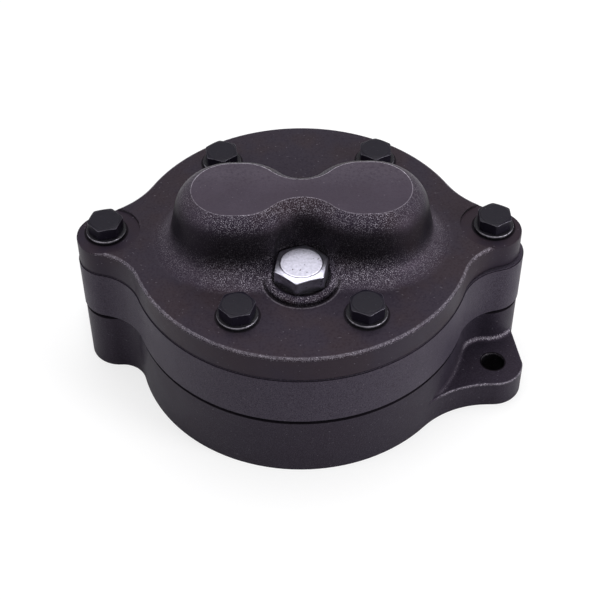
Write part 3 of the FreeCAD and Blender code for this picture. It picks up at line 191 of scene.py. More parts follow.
class Finish(Shading):
    """A surface finish: a material, its skin shader and the nodes that feed it."""

    def __init__(self, name, **skin):
        self.material = bpy.data.materials.new(name)
        super().__init__(self.material)
        self.skin = self.node("ShaderNodeBsdfPrincipled")
        self.end = self.node("ShaderNodeOutputMaterial", {}, {"Surface": self.skin.outputs[0]})
        self.spot = self.node("ShaderNodeTexCoord").outputs["Object"]
        split = self.node("ShaderNodeSeparateXYZ", {}, {"Vector": self.spot})
        self.x, self.y, self.z = (Level(self, socket) for socket in split.outputs)
        self.set(**skin)

    def set(self, **sockets):
        """Feeds the skin's sockets, which are named with an underscore for each space."""
        for key, value in sockets.items():
            self.feed(self.skin, key.replace("_", " "), value)

    def grain(self, width, detail=2.0, spot=None):
        """Noise whose lumps are about a width across, from 0 to 1."""
        made = self.node("ShaderNodeTexNoise", {},
                         {"Vector": spot or self.spot, "Scale": 1 / width, "Detail": detail})
        return Level(self, made.outputs[0])

    def edge_value(self):
        """What the piece's own mesh gives each point as the attribute edge."""
        made = self.node("ShaderNodeAttribute", {"attribute_name": "edge"})
        return Level(self, made.outputs["Fac"])

    def blend(self, share, first, second):
        """A colour between two others."""
        made = self.node("ShaderNodeMix", {"data_type": "RGBA"}, {0: share, 6: first, 7: second})
        return made.outputs[2]

    def cover_with(self, colour, share):
        """A matt colour over a share of the skin, used for painted shade."""
        painted_shade = self.node("ShaderNodeBsdfDiffuse", {}, {"Color": colour})
        both = self.node("ShaderNodeMixShader", {},
                         {0: share, 1: self.skin.outputs[0], 2: painted_shade.outputs[0]})
        self.feed(self.end, "Surface", both.outputs[0])

    def bump(self, relief, depth, under=None):
        """Normals of a relief that goes from 0 to 1 over a depth in metres."""
        sockets = {"Height": relief, "Distance": depth, "Strength": 1.0}
        if under is not None:
            sockets["Normal"] = under
        return self.node("ShaderNodeBump", {}, sockets).outputs[0]


table_mesh = bpy.data.meshes.new("table")
table_corners = [(x * TABLE_HALF, y * TABLE_HALF, 0)
                 for x, y in ((-1, -1), (1, -1), (1, 1), (-1, 1))]
table_mesh.from_pydata(table_corners, [], [(0, 1, 2, 3)])
table = bpy.data.objects.new("table", table_mesh)
bpy.context.scene.collection.objects.link(table)
table_finish = Finish("table_paper", Roughness=0.9, Emission_Strength=1.0, Specular_IOR_Level=0.0)
ray = table_finish.node("ShaderNodeLightPath").outputs
seen = ray["Is Camera Ray"]
mirrored = Level(table_finish, ray["Is Glossy Ray"]).at_least(ray["Is Transmission Ray"])
unseen_tone = table_finish.blend(mirrored, TABLE_GIVEN, TABLE_MIRRORED)
table_finish.set(Base_Color=table_finish.blend(seen, unseen_tone, TABLE_SEEN),
                 Emission_Color=table_finish.blend(seen, NO_LIGHT, TABLE_OWN))
table_mesh.materials.append(table_finish.material)

world = bpy.data.worlds.new("room")
bpy.context.scene.world = world
room = Shading(world)
room_ray = room.node("ShaderNodeLightPath").outputs
white = Level(room, room_ray["Is Camera Ray"]).at_least(room_ray["Is Glossy Ray"])
white = white.at_least(room_ray["Is Transmission Ray"])
air = room.node("ShaderNodeBackground", {}, {"Strength": ROOM_LIGHT + white * (1 - ROOM_LIGHT)})
room.node("ShaderNodeOutputWorld", {}, {"Surface": air.outputs[0]})

for lamp_name, lamp in LAMPS.items():
    lamp_data = bpy.data.lights.new(lamp_name, "AREA")
    lamp_data.shape = "DISK"
    lamp_data.size = lamp["size"]
    lamp_data.energy = lamp["power"]
    lamp_object = bpy.data.objects.new(lamp_name, lamp_data)
    bpy.context.scene.collection.objects.link(lamp_object)
    lamp_object.location = lamp["spot"]
    aim = LAMP_AIM - Vector(lamp["spot"])
    lamp_object.rotation_euler = aim.to_track_quat("-Z", "Y").to_euler()


# Base: the lowest iron casting, with the mounting feet and the lower half of each ear. Its walls
# are fairly smooth under satin black paint, and the feet and their edges keep the sand's grain.

PAINT = (0.0078, 0.0060, 0.0112, 1)
PAINT_BROWN = (0.0118, 0.0072, 0.0086, 1)
# Paler tint of painted sheen on the walls
PAINTED_WALL_SHEEN = (0.0400, 0.0340, 0.0490, 1)
# Dark tint of painted shade
PAINTED_SHADE_TINT = (0.0022, 0.0020, 0.0028, 1)
# Pale of painted glints and highlights, and of dust
PAINTED_GLINT_AND_DUST = (0.58, 0.53, 0.62, 1)
# Tint of painted sheen on the cover
PAINTED_SHEEN_TINT = (0.040, 0.032, 0.045, 1)
PAINT_GLOSS = 0.16
PAINT_SHEEN = (1.0, 0.75, 1.05, 1)
# Matt near black of painted shade in the joints and shaded places
PAINTED_SHADE_DARK = (0.0022, 0.0020, 0.0026, 1)
PATCH_WIDTH = 0.021
FINE_WIDTH = 0.00065
LUMP_WIDTH = 0.0010
LUMP_DEPTH = 0.0007
CROWD_WIDTH = 0.0042
GLINT_WIDTH = 0.00033
DUST_WIDTH = 0.0010
HIGHLIGHT_BREAK_WIDTH = 0.0011
SEAM_SOFT = 0.00005


def cast_paint(name, sand, seams, highlights=None, sheen_and_smears=None, painted_shade_mask=None, pale=0.0, peel=0.00005,
               brown=1.0):
    """Satin paint on cast iron. Patches of a browner tint, as strong as brown says, an even relief
    whose
     depth is peel, and where sand says 1 the coarse grain of a sand mould, with painted glints on
     its peaks. pale lightens the tint with a fine mottle, as painted sheen; worn paints highlight
     lines by itself; polish lightens it evenly, as painted sheen; and deep darkens and dulls it, as
     painted shade;
     each from 0 to 1. Between the heights of each seam the paint turns a dark matt colour, painted
     shade."""
    finish = Finish(name, Specular_IOR_Level=PAINT_GLOSS, Specular_Tint=PAINT_SHEEN)
    rough = sand(finish)
    patches = finish.grain(PATCH_WIDTH, 3.0).rise(0.40, 0.66)
    fine = finish.grain(FINE_WIDTH, 3.0)
    lumps = finish.grain(LUMP_WIDTH)
    crowd = finish.grain(CROWD_WIDTH)
    # Painted glints: pale points on the sand grain's peaks, where light would catch them
    glints = finish.grain(GLINT_WIDTH, 0.5).rise(0.55, 0.70)
    dust = finish.grain(DUST_WIDTH, 0.0).rise(0.80, 0.84)
    marks_and_highlights = glints * rough * (0.12 + crowd * 1.30) + dust * 0.08
    # Painted highlights along edges and fillets, broken by a grain
    if highlights:
        marks_and_highlights = marks_and_highlights + highlights(finish) * finish.grain(HIGHLIGHT_BREAK_WIDTH).rise(0.20, 0.60)
    tint = finish.blend(patches * brown, PAINT, PAINT_BROWN)
    # Painted sheen: a paler tint with a fine mottle
    tint = finish.blend(pale * (0.45 + fine.rise(0.32, 0.68) * 1.1), tint, PAINTED_WALL_SHEEN)
    # Painted sheen: a paler tint spread evenly over a mask
    if sheen_and_smears:
        tint = finish.blend(sheen_and_smears(finish), tint, PAINTED_SHEEN_TINT)
    painted_shade = 0
    # Painted shade: a darker tint and a share of dark matt colour over a mask
    if painted_shade_mask:
        shaded = painted_shade_mask(finish)
        tint = finish.blend(shaded, tint, PAINTED_SHADE_TINT)
        painted_shade = shaded * 0.55
    # Painted shade in the joints: dark matt colour between each seam's heights
    for low, high in seams:
        painted_shade = painted_shade + finish.z.between(low, high, SEAM_SOFT) * 0.85
    finish.set(Base_Color=finish.blend(marks_and_highlights.at_most(1.0), tint, PAINTED_GLINT_AND_DUST),
               Roughness=0.44 + patches * 0.05 + (fine - 0.5) * 0.18 + rough * 0.06,
               Normal=finish.bump(lumps * rough, LUMP_DEPTH, finish.bump(fine, peel)))
    finish.cover_with(PAINTED_SHADE_DARK, painted_shade)
    return finish.material


def dress(node, material):
    """Gives a CAD node its material."""
    nodes[node].data.materials.clear()
    nodes[node].data.materials.append(material)


FOOT_TOP = 0.0145
FOOT_EDGE = (FOOT_TOP - 0.0013, FOOT_TOP - 0.0001)
FOOT_EDGE_LINE = (FOOT_TOP - 0.0008, FOOT_TOP - 0.0001)
FOOT_FILLET = (FOOT_TOP + 0.0003, FOOT_TOP + 0.0018)
FOOT_FILLET_LINE = (FOOT_TOP + 0.0005, FOOT_TOP + 0.0012)
FOOT_BOLT = (0.08965, 0.02655)
FOOT_BORE = 0.0059
FOOT_BORE_END = 0.0062
FEET_START = 0.0779
FEET_FULL = 0.0799
FEET_QUARTERS = (-0.0008, -0.0004)
BASE_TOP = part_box("base_body")[1].z
# A reach past a casting's end, so that a seam takes in its whole edge
PAST_END = 0.001


def axis_reach(across, along):
    """Distance from an upright axis: the root of the squares of two distances from it."""
    return (across * across + along * along) ** 0.5


def on_feet(finish):
    """The feet, which stand outside the round body in the right front and left rear quarters,
    where x times y is negative."""
    outside = axis_reach(finish.x, finish.y).rise(FEET_START, FEET_FULL)
    return outside * (1 - (finish.x * finish.y).rise(*FEET_QUARTERS))


def foot_sand(finish):
    """Sand grain along the edge of each foot's top and along the start of its fillet."""
    edge = finish.z.between(*FOOT_EDGE, 0.0001)
    fillet = finish.z.between(*FOOT_FILLET, 0.0002)
    return (edge * 0.8 + fillet) * on_feet(finish) * 0.95 + 0.04


def foot_highlights(finish):
    """Painted highlights on the same two edges, in thinner lines."""
    edge = finish.z.between(*FOOT_EDGE_LINE, 0.0001)
    fillet = finish.z.between(*FOOT_FILLET_LINE, 0.0001)
    return (edge + fillet) * on_feet(finish) * 0.20


def foot_bore_shade(finish):
    """The feet's bolt holes with their bevels, darkened as painted shade. The left foot is the
    right one
     turned half round, so both are at one place in |x| and |y|."""
    bore = axis_reach(abs(finish.x) - FOOT_BOLT[0], abs(finish.y) - FOOT_BOLT[1])
    return (1 - bore.rise(FOOT_BORE, FOOT_BORE_END)) * on_feet(finish)


# Painted shade along the base's top edge, under the plate's overhang
base_seams = [(BASE_TOP - 0.0008, BASE_TOP + PAST_END)]
dress("base_body", cast_paint("base_paint", foot_sand, base_seams, highlights=foot_highlights, painted_shade_mask=foot_bore_shade,
                              pale=0.25, peel=0.00009, brown=0.2))


# Gear plate: the middle casting, turned on both faces, with the same paint as the base. It stands
# a hair proud of its neighbours, and a groove runs round its lower edge above the base.

PLATE_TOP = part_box("gear_plate")[1].z
GROOVE_TOP = 0.0016
PLATE_GRAIN = 0.06
# Painted shade in the groove above the base and in the joint below the cover
plate_seams = [(BASE_TOP - PAST_END, BASE_TOP + GROOVE_TOP),
               (PLATE_TOP - 0.0004, PLATE_TOP - 0.0001)]


def plate_sand(finish):
    """Hardly any grain, and the same all over."""
    return PLATE_GRAIN


# The plate's walls take far more of the paler tint than the base's, as painted sheen
dress("gear_plate", cast_paint("plate_paint", plate_sand, plate_seams, pale=0.92, peel=0.00014,
                               brown=0.3))


# Cover: the upper casting. Its face is smooth, the bearing boss is rough from the sand mould on its
# shoulder, wall and skirt, and its flat top is machined. The rounded rim is rough as well.

BOSS_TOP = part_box("cover")[1].z
BOSS_SHIFT = 0.0007
LOBE_X = 0.0311
LOBE_Y = -0.002
FLAT_RADIUS = 0.0172
SKIRT_END = 0.0358
SKIRT_BAND = (SKIRT_END - 0.010, SKIRT_END - 0.0025)
# Below the boss's top: the shoulder is full down to the first depth, its grain ends at the second,
#  and the wall's painted shade starts at the third
SHOULDER_FULL = 0.0015
SHOULDER_GRAIN = 0.0074
SHOULDER_DARK = 0.0088
# Above the cover's face: the skirt is full up to the first height, and its grain, the wall's
# painted
#  shade and the painted sheen end at the others
SKIRT_FULL = 0.0040
SKIRT_GRAIN = 0.0140
SKIRT_DARK = 0.0130
SKIRT_SHEEN_END = 0.0120
# The painted sheen on the boss's ends rises between these heights
SHOULDER_SHEEN = (BOSS_TOP - 0.0110, BOSS_TOP - 0.0030)
RIM_ROUND = 0.0016
PLUG_Y = -0.0305
# Distances from the plug's axis: the spot face's end, the ring round it, and the painted shade and
#  the painted highlight at the ring's foot
SPOT_FACE = (0.0129, 0.0135)
PLUG_RING = (0.0134, 0.0162)
PLUG_RING_FOOT = (0.0161, 0.0172)
PLUG_RING_LINE = (0.0171, 0.0178)
PLUG_RING_TOP = FACE_HEIGHT + 0.0032
SMEAR_WIDTH = 0.014
EAR_BOLT = (0.0881, 0.0040)
EAR_SEAT = (0.0152, 0.0154)
SEAT_DROP = 0.001
FRONT_BOLT = (0.0276, -0.0518)
BACK_BOLT = (0.0366, 0.0508)
BOLT_PAIRS = [(EAR_BOLT, SEAT_DROP, (31.0, 12.6)), (FRONT_BOLT, 0.0, (35.0, 12.0)),
              (BACK_BOLT, 0.0, (28.0, 38.0))]
WASHER_RADIUS = 0.0090


def lobe_reach(finish):
    """Distance from the line between the centres of the boss's round ends."""
    return axis_reach(abs(finish.x - BOSS_SHIFT).over(LOBE_X), finish.y - LOBE_Y)


def plug_reach(finish):
    """Distance from the plug's axis."""
    return axis_reach(finish.x, finish.y - PLUG_Y)


def on_flat(finish):
    """The boss's machined top."""
    return finish.z.rise(BOSS_TOP - 0.00010, BOSS_TOP - 0.00003)


def off_seats(finish):
    """Everywhere but the spot faces of the ears."""
    return axis_reach(abs(finish.x) - EAR_BOLT[0], finish.y - EAR_BOLT[1]).rise(*EAR_SEAT)


def below_top(finish, reach):
    """1 at the boss's top edge, falling to 0 a reach below it."""
    return finish.z.rise(BOSS_TOP - reach, BOSS_TOP - SHOULDER_FULL)


def above_face(finish, reach):
    """1 on the skirt, falling to 0 a reach above the cover's face."""
    return 1 - finish.z.rise(FACE_HEIGHT + SKIRT_FULL, FACE_HEIGHT + reach)


def near_face(finish):
    """1 on the cover's face, falling to 0 two millimetres above it."""
    return 1 - finish.z.rise(FACE_HEIGHT + 0.0010, FACE_HEIGHT + 0.0020)


def past_flat(finish):
    """The outer ends of the boss, from 0 above the flat's ends to 1 beyond them."""
    return abs(finish.x - BOSS_SHIFT).rise(LOBE_X + 0.002, LOBE_X + FLAT_RADIUS)


def cover_sand(finish):
    """Sand grain on the boss's shoulder and skirt, less of it on the wall between, the outer ends
    and behind, and on the plug's ring and the rounded rim, but not on the ears' seats."""
    near = 1 - lobe_reach(finish).rise(SKIRT_END - 0.006, SKIRT_END + 0.002)
    height = below_top(finish, SHOULDER_GRAIN) * 0.47 + above_face(finish, SKIRT_GRAIN) * 0.74
    behind = finish.y.rise(LOBE_Y + 0.006, LOBE_Y + 0.016)
    plug_ring = plug_reach(finish).between(*PLUG_RING, 0.0004)
    plug_ring = plug_ring * (1 - finish.z.rise(PLUG_RING_TOP, PLUG_RING_TOP + 0.0010))
    rim = finish.z.between(FACE_HEIGHT - RIM_ROUND, FACE_HEIGHT - 0.00008, 0.00005)
    boss = near * (0.12 + height * 0.88) * (1 - past_flat(finish) * 0.55) * (1 - behind * 0.6)
    sand = boss + plug_ring * 0.5 + rim * off_seats(finish) * 0.45
    return (sand * (1 - on_flat(finish))).at_most(1.0)


def washer_shadow(finish):
    """A thin ring of painted shadow on the face round each washer. The bolts stand in pairs at x
    and -x.
    """
    rings = 0
    for (x, y), drop, turns in BOLT_PAIRS:
        reach = axis_reach(abs(finish.x) - x, finish.y - y)
        rings = rings + reach.between(WASHER_RADIUS - 0.0006, WASHER_RADIUS + 0.0010, 0.0002)
    return rings


def boss_wall_shade(finish):
    """Painted shade on the steep wall of the boss between its shoulder and its skirt, on the plug's
     spot face, along the foot of its ring and round the washers."""
    near = 1 - lobe_reach(finish).rise(SKIRT_END - 0.006, SKIRT_END)
    height = (1 - below_top(finish, SHOULDER_DARK)) * (1 - above_face(finish, SKIRT_DARK))
    wall = near * height * (1 - past_flat(finish) * 0.5)
    low = 1 - finish.z.rise(PLUG_RING_TOP - 0.0006, PLUG_RING_TOP)
    spot_face = (1 - plug_reach(finish).rise(*SPOT_FACE)) * low
    foot = plug_reach(finish).between(*PLUG_RING_FOOT, 0.0003) * near_face(finish)
    return wall.at_least(spot_face + foot * 0.7 + washer_shadow(finish))


def cover_highlights(finish):
    """Painted highlights along the flat's edge, widest behind and at the ends, along the rim, and
     where the plug's ring meets the face."""
    flat_edge = finish.z.between(BOSS_TOP - 0.00018, BOSS_TOP - 0.00003, 0.00004)
    behind = 0.25 + finish.y.rise(LOBE_Y - 0.002, LOBE_Y + 0.012) * 0.75
    rim_edge = finish.z.between(FACE_HEIGHT - 0.0009, FACE_HEIGHT - 0.00006, 0.0001)
    ring_line = plug_reach(finish).between(*PLUG_RING_LINE, 0.0002) * near_face(finish)
    return flat_edge * behind * 0.95 + rim_edge * off_seats(finish) * 0.15 + ring_line * 0.14


def cover_sheen_and_smears(finish):
    """Painted sheen on the flat, with its oily smears, and less of it on the skirt, on the shoulder
    at
     the boss's ends and on the cover's side."""
    flat = on_flat(finish)
    smear = finish.grain(SMEAR_WIDTH).rise(0.42, 0.68)
    skirt = lobe_reach(finish).between(*SKIRT_BAND, 0.0055) * above_face(finish, SKIRT_SHEEN_END)
    side = 1 - finish.z.rise(FACE_HEIGHT - RIM_ROUND, FACE_HEIGHT - 0.0006)
    shoulder = finish.z.rise(*SHOULDER_SHEEN) * (1 - flat) * past_flat(finish)
    return flat * (0.80 + smear * 0.20) + skirt * 0.80 + side * 0.28 + shoulder * 0.6


# Painted shade in the joint below the cover
cover_seams = [(PLATE_TOP - PAST_END, PLATE_TOP + 0.0006)]
dress("cover", cast_paint("cover_paint", cover_sand, cover_seams, highlights=cover_highlights,
                          sheen_and_smears=cover_sheen_and_smears, painted_shade_mask=boss_wall_shade))


# Cover bolts: six black oxide bolts with hexagon heads. The corners of each head are turned off at
# the
#  top, the edges show pale steel from wear and carry painted highlights, and the lower half of the
#  shank is threaded.

BOLT_FLATS = 0.01430
BOLT_HEAD = 0.0059
BOLT_SLOPE = 14
BOLT_FLAT_SHARE = 0.93
BOLT_ROUND = 0.00018
BOLT_SHANK = 0.00475
BOLT_LONG = 0.061
BOLT_THREAD = 0.026
BOLT_PITCH = 25.4e-3 / 16
BOLT_BLACK = (0.0085, 0.0070, 0.0130, 1)
BOLT_WEAR_AND_HIGHLIGHT = (0.13, 0.12, 0.15, 1)
WASHER_THICK = 0.0016
CORNER_SOFT = 0.00035
THREAD_DEPTH = 0.54
THREAD_END = 0.0012


def ring_skin(rings, closed_ends):
    """Faces of a surface given as rings of points, first index along and second around. Either the
    ends close in a point each, or the last ring joins the first."""
    rows, around = rings.shape[:2]
    index = np.arange(rows * around).reshape(rows, around)
    beside = np.roll(index, -1, axis=1)
    if not closed_ends:
        after, after_beside = np.roll(index, -1, axis=0), np.roll(beside, -1, axis=0)
        return np.stack([index, beside, after_beside, after], -1).reshape(-1, 4).tolist()
    quads = np.stack([index[:-1], beside[:-1], beside[1:], index[1:]], -1).reshape(-1, 4)
    first = np.stack([beside[0], index[0], np.full(around, rows * around)], -1)
    last = np.stack([index[-1], beside[-1], np.full(around, rows * around + 1)], -1)
    return quads.tolist() + first.tolist() + last.tolist()


def place_piece(name, shapes, material, body, node):
    """One object from several closed surfaces. Each is a ring array, whether its ends close in a
    point, and a value for each of its points that the finish reads as the attribute edge."""
    points, faces, edge = [], [], []
    start = 0
    for rings, closed_ends, mark in shapes:
        flat = rings.reshape(-1, 3)
        marks_and_highlights = mark.reshape(-1)
        if closed_ends:
            flat = np.vstack([flat, rings[0].mean(0), rings[-1].mean(0)])
            marks_and_highlights = np.append(marks_and_highlights, [0.0, 0.0])
        faces += [[start + corner for corner in face] for face in ring_skin(rings, closed_ends)]
        points.append(flat)
        edge.append(marks_and_highlights)
        start += len(flat)
    mesh = bpy.data.meshes.new(name)
    mesh.from_pydata(np.vstack(points).tolist(), [], faces)
    attribute = mesh.attributes.new("edge", "FLOAT", "POINT")
    attribute.data.foreach_set("value", np.concatenate(edge))
    mesh.polygons.foreach_set("use_smooth", [True] * len(mesh.polygons))
    mesh.update()
    piece = bpy.data.objects.new(name, mesh)
    bpy.context.scene.collection.objects.link(piece)
    mesh.materials.append(material)
    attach(piece, body)
    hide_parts(node)
    return piece


def hexagon_reach(turns, flats):
    """Distance from the middle to a hexagon's side in each direction: half the flats over the
    cosine of the angle from the nearest flat's middle, with the corners held back a little. One
    corner is at 0."""
    from_flat = turns % (math.pi / 3) - math.pi / 6
    reach = flats / 2 / np.cos(from_flat)
    corner = flats / 2 / math.cos(math.pi / 6)
    over = np.maximum(reach - (corner - CORNER_SOFT), 0) / CORNER_SOFT
    return reach - CORNER_SOFT * 0.5 * over**2


def head_rings(turns, flats, height, slope, flat_share, edge_round):
    """Rings of a hexagon head from its top's middle to its lower edge, and how bright each is
    marked, for
     wear and painted highlights. The top is round, its rounded edge passes into the cone that turns
     the corners off, and the cone into the hexagon's sides, which are marked bright along their
     corners."""
    hexagon = hexagon_reach(turns, flats)
    top = flats / 2 * flat_share
    cone_start = top + edge_round * 0.3
    top_steps = [(top * 0.02, 0.0, 0.0), (top * 0.35, 0.0, 0.0), (top * 0.75, 0.0, 0.0),
                 (top * 0.93, 0.0, 0.0), (top - edge_round, 0.0, 0.35),
                 (top - edge_round * 0.25, edge_round * 0.25, 0.35), (cone_start, edge_round, 0.35)]
    rings = [(np.full_like(turns, reach), np.full_like(turns, height - drop))
             for reach, drop, mark in top_steps]
    marks = [np.full_like(turns, mark) for reach, drop, mark in top_steps]
    for step in np.linspace(0.18, 1.0, 5):
        out = (hexagon - cone_start) * step
        rings.append((cone_start + out, height - edge_round - out * math.tan(math.radians(slope))))
        marks.append(np.full_like(turns, 0.95 if step == 1.0 else 0.1))
    cone_end = rings[-1][1]
    corner = flats / 2 / math.cos(math.pi / 6)
    near_corner = np.clip((hexagon - corner * 0.965) / (corner * 0.02), 0, 1)
    for share, mark in ((0.04, 0.5), (0.12, 0.0), (0.6, 0.0), (0.93, 0.0), (1.0, 0.3)):
        rings.append((hexagon, cone_end + (edge_round - cone_end) * share))
        marks.append(np.maximum(mark, near_corner * 0.6))
    rings.append((hexagon - edge_round, np.zeros_like(turns)))
    marks.append(np.full_like(turns, 0.2))
    return rings, marks


def shank_rings(turns, radius, long, thread, pitch):
    """Rings of a shank below z = 0 whose lower part is threaded: the radius falls from crest to
    root and back once a pitch, and the pattern climbs one pitch a turn."""
    depth = THREAD_DEPTH * pitch
    start = thread - long
    steps = np.arange(start - pitch / 8, THREAD_END - long, -pitch / 8)
    rings = [(np.full_like(turns, radius), np.full_like(turns, height))
             for height in (-0.0002, start)]
    for height in steps:
        phase = (height / pitch - turns / math.tau) % 1.0
        tooth = np.clip(np.abs(phase - 0.5) * 2.4 - 0.1, 0, 1)
        run_in = min(1.0, (start - height) / pitch)
        rings.append((radius - depth * (1 - tooth) * run_in, np.full_like(turns, height)))
    rings.append((np.full_like(turns, radius - depth), np.full_like(turns, 0.0002 - long)))
    rings.append((np.full_like(turns, radius - depth * 1.5), np.full_like(turns, -long)))
    return rings


def round_shape(turns, rings, marks, middle, turn=0.0, closed_ends=True):
    """One surface for place_piece: ring radii and heights set round a middle, turned by an angle
    in degrees. The rings run from the top down, so they are taken backwards, which points the
    faces outwards."""
    angle = turns + math.radians(turn)
    points = [np.stack([middle[0] + reach * np.cos(angle), middle[1] + reach * np.sin(angle),
                        middle[2] + height], -1) for reach, height in rings]
    return np.stack(points)[::-1], closed_ends, np.stack(marks)[::-1]


def oxide(name, dark, bright, rough, shine):
    """Black oxide on steel, pale and partly metallic where the edge value is high, for wear and
    painted highlights.
    """
    finish = Finish(name, Specular_IOR_Level=shine)
    scuffs = finish.grain(0.0016, 4.0)
    marks_and_highlights = (finish.edge_value() * (0.25 + scuffs * 1.3)).rise(0.30, 0.95)
    bare_and_highlit = marks_and_highlights.at_least(finish.grain(0.0009).rise(0.66, 0.78) * 0.25)
    finish.set(Base_Color=finish.blend(bare_and_highlit, dark, bright), Metallic=bare_and_highlit * 0.6,
               Roughness=rough + (scuffs - 0.5) * 0.25,
               Normal=finish.bump(finish.grain(0.0007, 3.0), 0.00004))
    return finish.material


BOLTS = [(side * x, y, drop, turn) for (x, y), drop, turns in BOLT_PAIRS
         for side, turn in zip((1, -1), turns)]
bolt_turns = np.linspace(0, math.tau, 96, endpoint=False)
head, head_marks = head_rings(bolt_turns, BOLT_FLATS, BOLT_HEAD, BOLT_SLOPE, BOLT_FLAT_SHARE,
                              BOLT_ROUND)
shank = shank_rings(bolt_turns, BOLT_SHANK, BOLT_LONG, BOLT_THREAD, BOLT_PITCH)
bolt_marks = head_marks + [np.zeros_like(bolt_turns)] * len(shank)
bolt_shapes = [round_shape(bolt_turns, head + shank, bolt_marks,
                           (x, y, FACE_HEIGHT - drop + WASHER_THICK), turn)
               for x, y, drop, turn in BOLTS]
place_piece("hex_bolts", bolt_shapes,
            oxide("bolt_oxide", BOLT_BLACK, BOLT_WEAR_AND_HIGHLIGHT, rough=0.36, shine=0.12),
            "housing", "cover_bolts")


# Washers: six plain black washers, stamped, so that their outer edges are rounded, with a painted
#  highlight on each outer edge, strongest in front.

WASHER_INNER = BOLT_SHANK + 0.0004
WASHER_ROUND = 0.0004
WASHER_BLACK = (0.010, 0.009, 0.013, 1)
WASHER_HIGHLIGHT = (0.36, 0.34, 0.39, 1)


def washer_rings(turns, inner, outer, thick, round_edge):
    """Rings round a washer's section: up the bore, over the top, and round the outer edge."""
    corner = np.linspace(0, math.pi / 2, 4)
    outline = [(inner, 0.0), (inner, thick - 0.0001), (inner + 0.0001, thick)]
    outline += [(outer - round_edge * (1 - math.sin(angle)),
                 thick - round_edge * (1 - math.cos(angle))) for angle in corner]
    outline += [(outer, 0.0003), (outer - 0.0002, 0.0)]
    return [(np.full_like(turns, radius), np.full_like(turns, height))
            for radius, height in outline]


washer = washer_rings(bolt_turns, WASHER_INNER, WASHER_RADIUS, WASHER_THICK, WASHER_ROUND)
# Painted highlight, strongest on the front of each washer's edge
highlit_in_front = 0.55 - 0.45 * np.sin(bolt_turns)
washer_marks = [mark * highlit_in_front for mark in (0, 0, 0, 0.15, 0.6, 1.0, 0.8, 0.2, 0)]
washer_shapes = [round_shape(bolt_turns, washer, washer_marks, (x, y, FACE_HEIGHT - drop),
                             closed_ends=False) for x, y, drop, turn in BOLTS]
place_piece("washers", washer_shapes,
            oxide("washer_oxide", WASHER_BLACK, WASHER_HIGHLIGHT, rough=0.40, shine=0.15),
            "housing", "bolt_washers")


# Relief plug: a hollow hexagon plug in bright zinc, with a mottled top and a wide turned chamfer.
# It stands in a spot face and closes the relief valve's bore.

PLUG_FLATS = 0.0219
PLUG_HEAD = 0.0085
PLUG_SLOPE = 17
PLUG_FLAT_SHARE = 0.85
PLUG_ROUND = 0.0003
PLUG_SHANK = 0.0095
PLUG_LONG = 0.0086
PLUG_PLAIN = 0.0008
PLUG_PITCH = 0.0015
PLUG_END = PLUG_SHANK - 0.0009
PLUG_BORE = 0.00645
PLUG_BORE_END = 0.0045
PLUG_TURN = -100.9
PLUG_BOSS = 0.003
SPOT_DEEP = 0.0008
PLUG_SEAT = FACE_HEIGHT + PLUG_BOSS - SPOT_DEEP
ZINC_DULL = (0.42, 0.41, 0.49, 1)
ZINC_BRIGHT = (0.54, 0.53, 0.62, 1)
ZINC_STAIN = (0.40, 0.39, 0.46, 1)
ZINC_DARK = (0.14, 0.13, 0.16, 1)


def zinc(name):
    """Bright zinc plate: a pale metal with fine mottling, a few dark pits and a dark line where
    the edge value is high."""
    finish = Finish(name, Metallic=1.0)
    mottle = finish.grain(0.0012, 5.0)
    stains = finish.grain(0.0035, 3.0).rise(0.50, 0.72) * 0.22
    pits = finish.grain(0.0011, 0.0).rise(0.76, 0.80)
    dark = pits.at_least(finish.edge_value().rise(0.80, 1.0) * 0.45)
    pale = finish.blend(mottle.rise(0.32, 0.70), ZINC_DULL, ZINC_BRIGHT)
    pale = finish.blend(stains, pale, ZINC_STAIN)
    finish.set(Base_Color=finish.blend(dark, pale, ZINC_DARK), Roughness=0.27 + mottle * 0.06,
               Normal=finish.bump(mottle, 0.000008))
    return finish.material


plug_turns = np.linspace(0, math.tau, 120, endpoint=False)
plug_rows = head_rings(plug_turns, PLUG_FLATS, PLUG_HEAD, PLUG_SLOPE, PLUG_FLAT_SHARE,
                       PLUG_ROUND)[0]
plug_rows += shank_rings(plug_turns, PLUG_SHANK, PLUG_LONG, PLUG_LONG - PLUG_PLAIN, PLUG_PITCH)[:-2]
plug_rows += [(np.full_like(plug_turns, radius), np.full_like(plug_turns, height))
              for radius, height in ((PLUG_END, -PLUG_LONG), (PLUG_BORE, -PLUG_LONG),
                                     (PLUG_BORE, PLUG_BORE_END), (PLUG_BORE / 2, PLUG_BORE_END))]
plug_marks = np.zeros((len(plug_rows), len(plug_turns)))
top_edge = slice(5, 7)
plug_marks[top_edge] = 1.0
plug_shape = round_shape(plug_turns, plug_rows, plug_marks, (0, PLUG_Y, PLUG_SEAT), PLUG_TURN)
place_piece("hex_plug", [plug_shape], zinc("plug_zinc"), "housing", "relief_plug")


# Gears, shafts, keys and dowels: hardened steel, ground on the flanks and turned on the shafts,
# with a thin film of oil. They are shut inside the castings.

MARKS_FLAT = (1, 1, 22)


def ground_metal(name, pale, rough):
    """Bare metal with fine marks round the Z axis and a slight oil stain."""
    finish = Finish(name, Metallic=1.0)
    flattened = finish.node("ShaderNodeMapping", {}, {"Vector": finish.spot, "Scale": MARKS_FLAT})
    marks = finish.grain(0.004, 4.0, flattened.outputs[0])
    stain = finish.grain(0.009, 3.0).rise(0.45, 0.75)
    dark = tuple(shade * 0.6 for shade in pale[:3]) + (1,)
    finish.set(Base_Color=finish.blend(stain * 0.5, pale, dark),
               Roughness=rough + (marks - 0.5) * 0.2, Normal=finish.bump(marks, 0.00003))
    return finish.material


